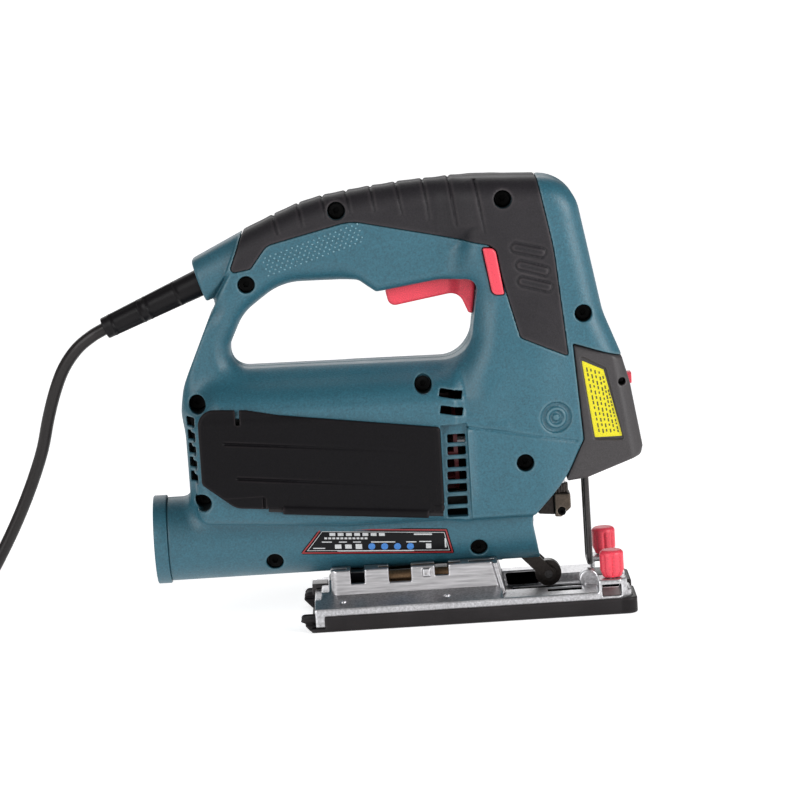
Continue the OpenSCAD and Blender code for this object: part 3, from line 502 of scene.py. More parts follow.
CORD_D = 6.4
COIL_R, COIL_COLUMNS = 36.0, 4
CORD_SIDE = 25.0
COIL_TURN = COIL_R + (COIL_COLUMNS - 1) / 2 * CORD_D
COIL_CENTRE = (-330.0, CORD_SIDE - COIL_TURN)
PLUG_START = Vector((-304, CORD_SIDE - 2 * COIL_TURN, 12.5))
RELIEF_START = Vector((-126.5, 0, 173))
RELIEF_ANGLE = math.radians(22.3)
RELIEF_LENGTH = 52.0
RELIEF_AXIS = Vector((-math.cos(RELIEF_ANGLE), 0, -math.sin(RELIEF_ANGLE)))
RELIEF_END = RELIEF_START + RELIEF_LENGTH * RELIEF_AXIS
CORD_ROUTE = [
    tuple(RELIEF_END), (-181, 0, 150), (-189, 1.5, 144), (-196.5, 4, 134.5), (-202, 7, 123),
    (-207, 11, 108.5), (-211.5, 15, 92.5), (-218, 19, 76), (-226.5, 22, 58), (-235.5, 24, 41.5),
    (-245, 25, 26.5), (-256, 25, 15), (-269, 25, 7.5), (-283, 25, 4), (-297, 25, 3.2), (-313, 25, 3.2),
]


def coil_points():
    """One layer spirals in on the surface, the next spirals out on top of it."""
    inner, turns, rise, last = COIL_R - 1.5 * CORD_D, 3.0, 0.3, 6.5
    steps = 16
    points = []
    for k in range(int(last * steps) + 1):
        t = k / steps
        if t <= turns:
            radius = COIL_TURN - CORD_D * t
        else:
            radius = inner + CORD_D * max(0.0, t - turns - rise)
        z = CORD_D / 2 + CORD_D * float(ease((t - turns) / rise))
        angle = math.radians(90 + 360 * t)
        points.append((COIL_CENTRE[0] + radius * math.cos(angle), COIL_CENTRE[1] + radius * math.sin(angle), z))
    return points


def smooth_curve(name, points, radius, material, body, replaced=()):
    """A round bar along one smooth open curve through the points."""
    data = bpy.data.curves.new(name, "CURVE")
    data.dimensions, data.bevel_depth, data.bevel_resolution = "3D", radius * MM, 6
    data.resolution_u, data.use_fill_caps = 5, True
    spline = data.splines.new("BEZIER")
    spline.bezier_points.add(len(points) - 1)
    places = [Vector(p) * MM for p in points]
    last = len(places) - 1
    for i, (p, here) in enumerate(zip(spline.bezier_points, places)):
        before, after = places[max(0, i - 1)], places[min(last, i + 1)]
        tangent = (after - before).normalized()
        p.co = here
        p.handle_left_type = p.handle_right_type = "FREE"
        p.handle_left = here - tangent * (here - before).length / 3
        p.handle_right = here + tangent * (after - here).length / 3
    data.materials.append(material)
    piece = bpy.data.objects.new(name, data)
    SCENE.collection.objects.link(piece)
    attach(piece, body)
    if replaced:
        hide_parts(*replaced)
    return piece


def add_cord():
    tail = [(-321, PLUG_START.y - 0.9, 9.9), (-312, PLUG_START.y - 0.3, 11.4), tuple(PLUG_START)]
    return smooth_curve(
        "cord_lead", CORD_ROUTE + coil_points() + tail, CORD_D / 2, CORD, "housing",
        ("cord", "cord_coil"),
    )


cord = add_cord()


def lathe(name, rows, sides, place, material, body, replaced=()):
    """A closed turned piece: rows are [distance along the axis, radius or function of the angle]."""
    points, faces = [], []
    for along, radius in rows:
        for k in range(sides):
            angle = 2 * math.pi * k / sides
            r = radius(angle) if callable(radius) else radius
            points.append(place(along, r * math.cos(angle), r * math.sin(angle)))
    for i in range(len(rows) - 1):
        for k in range(sides):
            n = (k + 1) % sides
            faces.append((i * sides + k, i * sides + n, (i + 1) * sides + n, (i + 1) * sides + k))
    faces.append(tuple(reversed(range(sides))))
    faces.append(tuple((len(rows) - 1) * sides + k for k in range(sides)))
    piece = add_piece(name, points, faces, material, body, replaced)
    work = bmesh.new()
    work.from_mesh(piece.data)
    bmesh.ops.recalc_face_normals(work, faces=work.faces)
    work.to_mesh(piece.data)
    work.free()
    piece.data.set_sharp_from_angle(angle=math.radians(40))
    return piece


def relief_place(along, a, b):
    """A point of the strain relief: a is towards the left of the tool, b is across the cord, upwards."""
    up = Vector((0, 1, 0)).cross(RELIEF_AXIS)
    return tuple(RELIEF_START + RELIEF_AXIS * along + Vector((0, 1, 0)) * a + up * b)


def add_relief():
    windows = ((11.5, 28.0), (31.5, 47.5))
    rows = [(-11.5, 3.4), (-11.5, 6.6)]
    steps = 120
    for i in range(steps + 1):
        along = -11.0 + (RELIEF_LENGTH + 10.4) * i / steps
        base = 6.7 - 1.25 * max(0.0, along) / RELIEF_LENGTH
        depth = sum(float(ease((along - a) / 1.2) * ease((b - along) / 1.2)) for a, b in windows)
        ring = 0.4 * sum(math.exp(-((along - c) / 0.7) ** 2) for w in windows for c in w)

        def radius(angle, base=base, depth=depth, ring=ring):
            facing = abs(math.cos(angle))
            return base + ring * float(ease((facing - 0.1) / 0.3)) - 0.75 * depth * float(ease((facing - 0.35) / 0.2))

        rows.append((along, radius))
    rows += [(RELIEF_LENGTH - 0.2, 5.3), (RELIEF_LENGTH, 4.9), (RELIEF_LENGTH, 3.1)]
    return lathe("strain_relief_boot", rows, 72, relief_place, RELIEF, "housing", ("strain_relief",))


add_relief()


def plug_piece():
    block = Block((-306, PLUG_START.y - 15, -1), (-260, PLUG_START.y + 15, 27), 0.5)
    across, up = np.abs(block.y - PLUG_START.y), np.abs(block.z - PLUG_START.z)
    body = plate(plate(across - 13 + 0 * up, up, 12.5, 5), np.abs(block.x + 276), 14, 2.5)
    cone_radius = 4.6 + 3.6 * np.clip((block.x + 304) / 14, 0, 1)
    sleeve = np.maximum(np.hypot(across, up) - cone_radius, span(block.x, -304, -280))
    field = join(body, sleeve, 4)
    for x in (-286, -281.5, -277, -272.5):
        field = field + 0.7 * np.exp(-(((block.x - x) / 0.9) ** 2)) * ease((across - 9) / 3)
    shell_piece("plug_shell", block, field, field, RELIEF, "housing", ("plug_body",))
    bevelled("plug_prongs", "plug_pins", 0.6, STEEL, "housing")


plug_piece()
bevelled("coil_tie_band", "coil_tie", 0.5, CHARCOAL, "housing")

# ---------- housing ----------

BODY = [
    (-137, 45, 0), (32, 45, 0), (31.8, 48.5, 0), (49.8, 67, 0), (59.4, 86, 0), (70, 120, 0), (81.1, 125.7, 0.5),
    (72.8, 148, 40), (61, 215.6, 20), (-10, 219.3, 350), (-70, 211.5, 100), (-100.5, 198.8, 0),
    (-129, 185.4, 2.2), (-121.6, 161.6, 0), (-127.3, 154.1, 30), (-132.4, 143.5, 60), (-135.8, 132.5, 80),
    (-137.2, 119, 60),
]
LOOP = [
    (-112.5, 130, 9), (5.5, 128.3, 16), (12, 168.6, 5), (-8, 168.7, 20), (-35, 165, 0), (-38.5, 164.6, 2),
    (-47, 171, 6), (-85, 171.7, 30), (-105, 157.5, 25), (-112.5, 142, 8),
]
HEAD = [
    (1, 108, 10), (1, 60, 0), (40, 60, 0), (66, 80, 0), (74, 120, 0), (81.1, 125.7, 0.5), (72.8, 148, 40),
    (61, 215.6, 20), (5, 218.4, 12), (6, 186, 14), (2, 150, 30),
]
GEAR = [
    (-2, 50.3, 2), (33.5, 50.3, 2), (49.8, 67, 60), (66, 99, 0), (66, 130, 6), (26, 130, 8), (22, 104, 8), (-2, 102, 2),
]
MOTOR = [
    (-133, 56, 6), (-60, 51, 20), (-4, 51, 4), (3, 62, 6), (3, 97, 0), (22, 97, 0), (22, 121, 8), (-122, 122, 10),
    (-134, 112, 8),
]
NOSE_CUT = [
    (49.8, 67, 0), (50.6, 65.0, 0.8), (60.5, 66.1, 10), (88, 75.8, 3), (89.3, 80, 3), (84.6, 112, 20),
    (81.1, 125.7, 0.5), (56.6, 134.3, 0), (59.4, 86, 0),
]
GRIP_SKIN = [
    (-101, 202, 0), (-110.5, 178.2, 2), (-99.5, 180, 3), (-91, 191, 8), (-49, 200.6, 25), (19.5, 185, 4),
    (31, 139, 3), (54.3, 128, 1), (50, 182, 150), (42, 225, 0), (-101, 225, 0),
]
DOOR_EDGE = [
    (-130, 114.5, 8), (-130, 77, 3), (-114, 64.2, 10), (-11.2, 55, 3), (-11, 98.5, 2), (-90, 109.5, 30),
    (-106, 113, 15),
]
TRIGGER_EDGE = [
    (-34.4, 171, 0), (-33.8, 163, 0), (-32.3, 156, 3.8), (2.2, 161.4, 7), (6.6, 150.4, 0.6), (8.8, 149.6, 0.8),
    (10.9, 163, 5), (10.5, 171, 0),
]
LOCK_EDGE = [(18.6, 160.9, 3), (24.4, 160.8, 0.8), (21.2, 183.8, 3.6), (14.9, 184.3, 0.8)]
# x, z and the y of the seat under the head
SCREWS = [
    (-102.2, 172.4, -9), (-55.6, 206, -8), (26.3, 207.4, -14), (62.7, 148.8, -14), (-18.2, 118.9, -18),
    (29.9, 76.9, -18), (-130, 115.4, -9), (-130.1, 67.4, -9), (-97.2, 33.2, -9), (4.7, 34, -9),
]
WELL_R = 4.3
TUBE_Z, TUBE_R = 45.0, 21.0
HINGE = (-55.0, -34.6, 59.0)
HINGE_SLOPE = math.radians(5.1)
SKIN = 1.7
SHELL = 2.4
# Grooves across the grip: the top and the lower end of each, x and z
GRIP_GROOVES = [
    ((-87.3, 205.0), (-84.8, 195.7)), ((-74.4, 209.1), (-72.6, 198.3)), ((-62.4, 212.5), (-60.7, 202.1)),
    ((-50.5, 214.5), (-48.5, 203.6)), ((-38.3, 216.3), (-36.4, 203.6)), ((-25.7, 217.2), (-23.0, 200.9)),
    ((-12.3, 218.2), (-9.9, 197.3)), ((0.4, 218.5), (3.3, 194.1)), ((12.9, 217.0), (16.8, 190.1)),
]
GRIP_RIDGES = [((31.2, 183.4), (43.8, 180.1)), ((33.3, 174.6), (45.0, 170.9)), ((33.7, 166.6), (46.0, 162.9))]


def outer_field(block):
    """The moulded outside of the whole housing, without its openings."""
    x, z, across = block.x, block.z, np.abs(block.y)
    loop = block.flat(LOOP)
    body = np.maximum(block.flat(BODY), -loop)
    radius = blend(4.5, 11.0, np.maximum(ease((-42 - x) / 16), ease((z - 178) / 14)))
    radius = np.maximum(radius, 10.0 * ease((150 - z) / 12))
    radius = blend(radius, 5.5, ease((-116 - x) / 12))
    half = blend(16.5, 24.5, ease((x + 8) / 22) * ease((z - 184) / 12))
    handle = plate(body, across, half, radius) + 0.8 * ease((x - 22) / 14)

    # the collar round the cord is a round boss that the handle's side doesn't reach
    along = (x - RELIEF_START.x) * RELIEF_AXIS.x + (z - RELIEF_START.z) * RELIEF_AXIS.z
    over = -(x - RELIEF_START.x) * RELIEF_AXIS.z + (z - RELIEF_START.z) * RELIEF_AXIS.x
    collar = np.hypot(across, over) - (12.9 - 0.07 * along)
    collar = both(both(collar, block.flat(BODY) - 0.3, 2), -along - 32, 2)
    behind = (x + 110.5) * 0.912 - (z - 178.2) * 0.41
    handle = both(handle, -(behind + 1.5), 1.2)
    handle = join(handle, collar, 0.7)

    half = 24.5 + 4 * ease((165 - z) / 45)
    half = blend(half, 23.8, 0.92 * ease((x - 34) / 28))
    inner = blend(12.0, 8.5, ease((z - 156) / 12))
    radius = blend(inner, 12.0, np.maximum(ease((z - 190) / 12), ease((x - 42) / 14)))
    head = plate(both(block.flat(HEAD), -loop, 10), across, half, radius)
    gear = plate(block.flat(GEAR), across, half, 2.0)
    head = np.minimum(head, gear)
    half = blend(33.0, 26.5, ease((x + 4) / 7) * ease((z - 94) / 6))
    motor = plate(block.flat(MOTOR), across, half, blend(7.0, 14.0, ease((z - 102) / 12)))
    tube = np.hypot(across, z - TUBE_Z) - TUBE_R
    tube = both(tube, np.maximum(-149.7 - x, x - 32.1 - 0.158 * (45.2 - z)), 0.6)
    field = join(handle, head, blend(10.0, 0.3, np.maximum(ease((z - 181) / 11), ease((x - 14) / 12))))
    field = join(field, motor, blend(6.0, 12.0, ease((z - 96) / 16)))
    field = join(field, tube, 5)
    groove, t = capsule(x, z, (-110.8, 178.0), (-122.3, 161.0))
    field = field + blend(0.9, 3.2, t) * np.exp(-((groove / blend(0.7, 1.7, t)) ** 2))
    return np.maximum(field, -loop)


def vent_panel(block):
    """The shallow recess that the front air slots sit in."""
    return np.maximum(np.maximum(span(block.x, -11.0, 2.0), span(block.z, 48.9, 98.8)), 27.3 - np.abs(block.y))


def housing_openings(block, field, right):
    """Cuts the openings that the housing half has."""
    x, y, z = block.x, block.y, block.z
    across = np.abs(y)
    for sx, sz, seat in SCREWS if right else ():
        well = np.maximum(np.hypot(x - sx, z - sz) - WELL_R, across * 0 - seat * 0 + (-seat - across))
        field = cut(field, well, 0.7)
    field = cut(field, vent_panel(block), 0.6)
    for i in range(7):
        slot = np.maximum(span(x, -10.0 + 0.35 * i, 0.1 + 0.15 * i), span(z, 52 + 6.2 * i, 56.1 + 6.2 * i))
        field = cut(field, np.maximum(slot, 15 - across), 0.5)
    for i in range(5):
        slot = np.maximum(span(x, -135.7, -131.7), span(z, 76.7 + 7 * i, 81.5 + 7 * i))
        field = cut(field, np.maximum(slot, 11.5 - across), 0.8)
    tilt = math.radians(11.5)
    for cz in (105.8, 113.9):
        u = (x + 5) * math.cos(tilt) - (z - cz) * math.sin(tilt)
        v = (x + 5) * math.sin(tilt) + (z - cz) * math.cos(tilt)
        slot = np.maximum(np.maximum(span(u, -5.6, 5.6), span(v, -2, 2)), 14 - across)
        field = cut(field, slot, 0.5)
    seam, _ = capsule(x, z, (2.5, 96.6), (56.5, 85.6))
    field = field + 0.85 * np.exp(-((seam / 0.5) ** 2)) * ease((across - 20) / 2)
    # The emblem's disc is pressed in deep enough for the painted shade to darken it a little, while its raised figure
    # stays light.
    emblem = np.hypot(x - 46.4, z - 98.4)
    figure = np.minimum(np.abs(emblem - 4.3) - 0.5, emblem - 1.4)
    field = field + ease((across - 18) / 2) * (1.45 * ease((7.9 - emblem) / 0.6) - 1.3 * ease((0.6 - figure) / 0.6))
    boxes = [
        (-35.5, 14.5, 7.6, 160, 180), (6, 18, 3.6, 149, 161), (34, 54, 9, 44, 70), (16.5, 38, 6.6, 18, 42),
    ]
    for x0, x1, half, z0, z1 in boxes:
        room = np.maximum(np.maximum(span(x, x0, x1), span(z, z0, z1)), across - half)
        field = cut(field, room, 0.5)
    field = cut(field, np.maximum(np.hypot(x - 46.5, y) - 5.6, span(z, 44, 64)), 0.5)
    field = cut(field, np.maximum(np.hypot(x - 46.5, y) - 4.2, span(z, 44, 150)), 0.4)
    field = cut(field, np.maximum(np.hypot(y, z - TUBE_Z) - 18.7, x + 137), 0.5)
    along = (x - RELIEF_START.x) * RELIEF_AXIS.x + (z - RELIEF_START.z) * RELIEF_AXIS.z
    over = (x - RELIEF_START.x) * RELIEF_AXIS.z - (z - RELIEF_START.z) * RELIEF_AXIS.x
    field = cut(field, np.maximum(np.hypot(y, over) - 6.95, -along - 12), 0.6)
    if right:
        field = cut(field, np.maximum(block.flat(DOOR_EDGE) + 5, 28.5 - across), 0.8)
        hinge = np.hypot(y - HINGE[1], (z - HINGE[2]) * math.cos(HINGE_SLOPE) + (x - HINGE[0]) * math.sin(HINGE_SLOPE))
        field = cut(field, np.maximum(hinge - 2.7, span(x, -91.5, -18.5)), 0.4)
        lock = np.maximum(block.flat(LOCK_EDGE) - 0.35, 18 - across)
        field = cut(field, lock, 0.6)
    else:
        field = cut(field, np.maximum(np.hypot(x - 16, z - 66) - 3.2, 20 - across), 0.5)
    return field


def grip_field(block, outer, skin):
    """The soft skin with its grooves and ridges, before it is split and cut."""
    x, z, across = block.x, block.z, np.abs(block.y)
    field = outer - 0.15
    for top, low in GRIP_GROOVES:
        line, t = capsule(x, z, top, low)
        fade = blend(1.0, 0.5, ease(t)) * ease((1 - t) / 0.12)
        field = field + 1.0 * fade * np.exp(-((line / 0.52) ** 2))
        field = field - 0.22 * fade * ease((6 - line) / 6) * (1 - np.exp(-((line / 0.9) ** 2)))
    for a, b in GRIP_RIDGES:
        line, _ = capsule(x, z, a, b)
        field = field - 0.55 * ease((2.1 - line) / 0.8) + 0.6 * np.exp(-(((line - 2.5) / 0.5) ** 2))
    field = both(field, skin + 0.16, 0.7)
    return np.maximum(field, -(outer + SKIN - 0.1))


def add_housing():
    """Both halves and both halves of the grip. The left side is made mirrored."""
    block = Block((-152.4, -36.0, 22.2), (84.0, 1.2, 221.4), 0.6)
    x, y, z = block.x, block.y, block.z
    outer = outer_field(block)
    skin = block.flat(GRIP_SKIN)
    nose = block.flat(NOSE_CUT)
    closed = both(outer, -nose + 0.02, 0.6)
    hollow = closed + SHELL
    for sx, sz, _ in SCREWS:
        hollow = np.maximum(hollow, 6.0 - np.hypot(x - sx, z - sz))
    hollow = np.maximum(hollow, -(np.maximum(block.flat(DOOR_EDGE) + 3, 26.3 - np.abs(y))))
    vents = np.maximum(np.maximum(span(x, -13.2, 3.4), span(z, 46.9, 100.8)), 25.1 - np.abs(y))
    hollow = np.maximum(hollow, -vents)
    hollow = np.maximum(hollow, -np.maximum(np.hypot(x - 46.4, z - 98.4) - 9.5, 20 - np.abs(y)))
    ribs = np.maximum(span(x, -13.5, 7), 26.5 - np.hypot(np.minimum(y, 0) * 0, z - 86))
    ribs = np.maximum(np.minimum(ribs, span(x, -137, -128.6)), np.abs(y) - 1.2)
    hollow = np.maximum(hollow, -ribs)
    shell = np.maximum(closed, -np.maximum(skin - 0.12, -(outer + SKIN)))
    shell = np.maximum(shell, -hollow)
    grip = grip_field(block, outer, skin)
    # Depth is measured from this surface, so painted shade darkens the screw wells, slots and other openings cut into
    # each half, but not the vent panel.
    shown = np.maximum(outer, -vent_panel(block))
    for side in ("right", "left"):
        right = side == "right"
        field = housing_openings(block, shell, right)
        if not right:
            shroud = np.maximum(np.abs(np.hypot(y, z - 86) - 25.9) - 0.6, span(x, -14, 1))
            field = np.minimum(field, np.maximum(shroud, y + 0.5))
        field = both(field, y + 0.05, 0.7)
        shell_piece(
            "housing_" + side + "_shell", block, field, shown, TEAL, "housing",
            ("housing_" + side,), mirror=not right,
        )
        field = grip
        if right:
            for sx, sz, _ in SCREWS[:3]:
                field = cut(field, np.hypot(x - sx, z - sz) - WELL_R - 0.1, 0.6)
            field = cut(field, block.flat(LOCK_EDGE) - 0.45, 0.5)
        field = both(field, y + 0.06, 0.6)
        shell_piece(
            "grip_" + side + "_skin", block, field, outer, GRIP, "housing",
            ("grip_" + side,), mirror=not right,
        )
    return block, outer


housing_block, housing_outer = add_housing()

# ---------- nose cover ----------

NOSE_HALF = 22.0
WINDOW = [(60.2, 127.4, 0.8), (64.9, 85.6, 0.8), (79.3, 84.6, 0.8), (72.2, 120.7, 0.8)]
NOSE_LABEL = [(65.2, 86.4, 0.5), (78.9, 86.3, 0.5), (71.2, 119.9, 0.5), (60.4, 125.2, 0.5)]
NOSE_OUTER = [
    (40, 65.0, 0), (50.6, 65.0, 0.8), (60.5, 66.1, 10), (88, 75.8, 3), (89.3, 80, 3), (84.6, 112, 20),
    (81.1, 125.7, 0.5), (56.6, 134.3, 0), (40, 140, 0),
]


def add_nose():
    block = Block((48, -23.5, 60.5), (91.5, 23.5, 136.5), 0.5)
    x, y, z = block.x, block.y, block.z
    across = np.abs(y)
    front = blend(NOSE_HALF, NOSE_HALF - 5.5, ease((x - 79 + (z - 100) * 0.14) / 9))
    outer = plate(block.flat(NOSE_OUTER), across, front, 2.2)
    field = both(outer, block.flat(NOSE_CUT) + 0.22, 0.7)
    field = cut(field, np.maximum(block.flat(WINDOW), NOSE_HALF - 1.3 + y * 1.0 + 0 * x) if False
                else np.maximum(block.flat(WINDOW), y + NOSE_HALF - 1.3), 0.8)
    field = cut(field, np.maximum(np.hypot(x - 80.0, z - 113.4) - 1.9, y + 12), 0.5)
    for radius, top in ((4.2, 140), (5.6, 64)):
        field = cut(field, np.maximum(np.hypot(x - 46.5, y) - radius, z - top), 0.4)
    for side in (-9, 9):
        field = cut(field, np.maximum(np.hypot(x - 60, y - side) - 1.6, z - 72), 0.5)
    field = cut(field, np.maximum(np.hypot(x - 70, y) - 3.5, z - 75), 0.5)
    slot = np.maximum(np.maximum(across - 4.3, span(z, 109.4, 115.6)), 79 - x)
    field = cut(field, slot, 0.5)
    shell_piece("nose_shell", block, field, outer, NOSE, "housing", ("nose_cover",))


add_nose()

# ---------- storage door ----------


def add_door():
    block = Block((-133, -38, 51), (-8, -29.5, 118), 0.45)
    x, y, z = block.x, block.y, block.z
    edge = block.flat(DOOR_EDGE)
    top = (z - 106.8) + (x + 125.5) * 0.036
    crown = 2.55 - 0.5 * ease(top / 3) - 0.12 * ease((-edge - 20) / -20)
    outer = plate(edge + 0.1, -(y + 33.05), crown, 1.5)
    outer = np.maximum(outer, y + 33.06)
    for a, b in (((-117.3, 96.8), (-30, 88.0)), ((-112, 79.1), (-24, 70.0))):
        line, t = capsule(x, z, a, b)
        outer = outer + 1.15 * (1 - 0.8 * ease(t)) * np.exp(-((line / 0.6) ** 2)) - 0.2 * (1 - ease(t)) * np.exp(-((line / 2.6) ** 2))
    side_line, _ = capsule(x, z, (-14.2, 60.5), (-13.6, 97.4))
    outer = outer + 0.25 * np.exp(-((side_line / 0.5) ** 2))
    corner, _ = capsule(x, z, (-17.2, 60.2), (-17.2, 52))
    ledge, _ = capsule(x, z, (-17.2, 60.2), (-10, 59.8))
    outer = outer + 0.4 * np.exp(-((np.minimum(corner, ledge) / 0.45) ** 2))
    field = outer
    field = cut(field, np.maximum(span(x, -111.3, -109.3), 105.6 - z), 0.4)
    field = cut(field, np.maximum(np.maximum(span(x, -100.2, -99.2), z - 68.6), y + 34.0), 0.3)
    facet = np.maximum(np.maximum(x + 99.6, z - 69.2), y + 34.9)
    field = cut(field, facet, 0.4)
    across_hinge = (z - HINGE[2]) * math.cos(HINGE_SLOPE) + (x - HINGE[0]) * math.sin(HINGE_SLOPE)
    along_hinge = (x - HINGE[0]) * math.cos(HINGE_SLOPE) - (z - HINGE[2]) * math.sin(HINGE_SLOPE)
    barrel = both(np.hypot(y - HINGE[1], across_hinge) - 2.25, span(along_hinge, -36, 36), 0.5)
    for end in (-1, 1):
        lug = np.maximum(span(along_hinge * end, 35.8, 43.5), across_hinge - 0.4)
        field = cut(field, lug, 0.3)
    field = np.maximum(field, -(across_hinge + 2.0))
    field = join(field, barrel, 0.6)
    shell_piece("door_panel", block, field, outer, DOOR, "storage_door", ("storage_door",))


add_door()

# ---------- switch trigger, lock button and laser button ----------


def add_controls():
    block = Block((-36, -8.5, 147.5), (13.5, 8.5, 172), 0.4)
    half = 7 - 2.3 * ease((block.x + 3.5) / 7)
    field = plate(block.flat(TRIGGER_EDGE), np.abs(block.y), half, 1.8)
    shell_piece("trigger_lever", block, field, field, RED, "trigger", ("trigger",))
    block = Block((13, -27.5, 159), (26.5, -17.5, 186), 0.35)
    crown = 26.1 - 0.35 * ((block.x - 19.7 + (block.z - 172) * 0.15) / 3.2) ** 2
    field = plate(block.flat(LOCK_EDGE), np.abs(block.y + 13), crown - 13, 0.9)
    shell_piece("lock_slider", block, field, field, RED, "lock_button", ("lock_button",))
    bevelled("laser_key", "laser_button", 0.7, RED, "laser_button")


add_controls()

# ---------- shoe, roller, clamp and knobs ----------

bevelled("bevel_lever_arm", "bevel_lever", 0.6, DARK_STEEL, "bevel_lever")
bevelled("roller_yoke", "roller_fork", 0.5, BURNISHED, "orbit_arm")
bevelled("roller_wheel", "guide_roller", 0.5, BURNISHED, "roller")
bevelled("dust_port_ring", "dust_adapter", 1.0, TEAL, "housing")
bevelled("orbit_dial", "orbit_knob", 0.8, CHARCOAL, "orbit_selector")


SHOE_END, SHOE_HALF, SHOE_TOP = 78.5, 37.0, 11.5


def add_shoe():
    """The cast base plate: fence blocks, the blade's channel, openings beside it and a boss on each side."""
    block = Block((-80, -38.5, 1), (80, 38.5, 20.5), 0.5)
    x, y, z = block.x, block.y, block.z
    across = np.abs(y)
    profile = [(-SHOE_END, 2, 0.6), (SHOE_END, 2, 0.6), (SHOE_END, SHOE_TOP, 0.6), (-SHOE_END, SHOE_TOP, 0.6)]
    outer = plate(block.flat(profile), across, SHOE_HALF, 0.6)
    slope = (z - SHOE_TOP) + (across - 36.4) * 0.325
    slope = both(slope, np.maximum(span(x, -SHOE_END, 15), across - 36.5), 0.5)
    for low, start in ((14.4, -75.4), (16.6, -71.4)):
        slope = both(slope, z - low - 30 * ease((x - start) / 0.5), 0.4)
    outer = join(outer, np.maximum(slope, SHOE_TOP - 2 - z), 0.5)
    ends = [(62, 8, 0), (76.5, 8, 0), (76.5, 17.5, 1), (62, 17.5, 1)]
    outer = join(outer, plate(block.flat(ends), np.abs(across - 30.5), 6.5, 0.8), 0.8)
    outer = both(outer, (x + across - SHOE_END - SHOE_HALF + 5.66) * 0.707, 0.6)
    outer = cut(outer, np.maximum(np.maximum(17 - x, across - 16), 8 - z), 0.6)
    round_boss = np.hypot(x - 58.6, z - 14.0)
    boss = np.maximum(round_boss - 4.8, span(-y, 8.6, 15.4))
    boss = boss + 0.3 * np.exp(-(((round_boss - 3.3) / 0.4) ** 2)) * ease((14 - across) / 1)
    pillar = np.maximum(np.maximum(span(x, 57.5, 65.5), span(z, 7, 12)), span(across, 9.4, 15.0))
    outer = join(outer, join(boss, pillar, 1), 0.8)
    outer = np.minimum(outer, np.hypot(np.hypot(x + 64.3, across - 31), z - 12.9) - 1.6)
    outer = np.minimum(outer, np.hypot(np.hypot(x + 12.8, across - 31), z - 12.9) - 1.6)
    # A bracket on the far side with a window through it: painted shade colours the window's walls black, standing in
    # for the shade at the front of the cradle.
    profile = [(17.2, 7.5, 0), (36.0, 7.5, 0), (34.5, 15.9, 0.8), (15.6, 15.9, 0.8)]
    bracket = plate(block.flat(profile), np.abs(y - 13.5), 4.5, 0.6)
    outer = join(outer, bracket, 0.8)
    profile = [(18.6, 8.8, 0.6), (34.4, 8.8, 0.6), (33.2, 14.6, 0.6), (17.8, 14.6, 0.6)]
    field = cut(outer, np.maximum(block.flat(profile), across - 16), 0.5)
    field = cut(field, np.maximum(np.maximum(span(x, 37.5, 54.5), span(-y, 18.5, 26.5)), 6 - z), 0.5)
    field = cut(field, np.maximum(21 - x, across - 7.5), 0.5)
    field = cut(field, np.maximum(span(x, 63.9, 73.4), span(z, 9.4, 14.9)), 0.5)
    field = cut(field, np.maximum(np.hypot(x - 69.5, across - 31) - 2.6, 14 - z), 0.3)
    field = np.maximum(field, 2.02 - z)
    shell_piece("shoe_casting", block, field, outer, SHOE, "shoe", ("shoe_plate",))


def add_overshoe():
    """The plastic cover under the plate, with two ribbed clips at the rear."""
    block = Block((-87, -39.5, -1), (82.5, 39.5, 9), 0.5)
    x, y, z = block.x, block.y, block.z
    across = np.abs(y)
    corner = blend(1.0, 5.0, ease(x / 20))
    q1, q2 = np.abs(x - 0.15) - 80.95 + corner, across - 38.3 + corner
    sheet = np.hypot(np.maximum(q1, 0), np.maximum(q2, 0)) + np.minimum(np.maximum(q1, q2), 0) - corner
    field = both(sheet, span(z, 0, 8), 0.9)
    field = cut(field, np.maximum(x + 74, 2 - z), 0.5)
    inside = np.maximum(x + across - SHOE_END - SHOE_HALF + 5.6, np.maximum(np.abs(x) - 78.55, across - 37.05))
    field = np.maximum(field, -np.maximum(inside, 2 - z))
    field = cut(field, np.maximum(21 - x, across - 7.5), 0.5)
    lift = 1.6 * (y > 0)
    clip = both(np.maximum(span(x, -86 + 0.9 * np.abs(z - 5.5), -78.55), span(across, 23, 35)), span(z, 0, 6.9 + lift), 0.6)
    clip = clip + 1.0 * np.exp(-(((z - 4.1 - lift) / 0.7) ** 2))
    for rib in (25.4, 27.8, 30.2, 32.6):
        clip = clip + 1.1 * np.exp(-(((across - rib) / 0.6) ** 2)) * ease((z - 3.0) / 1)
    field = join(field, clip, 0.3)
    shell_piece("overshoe_cover", block, field, field, OVERSHOE, "shoe", ("overshoe",))


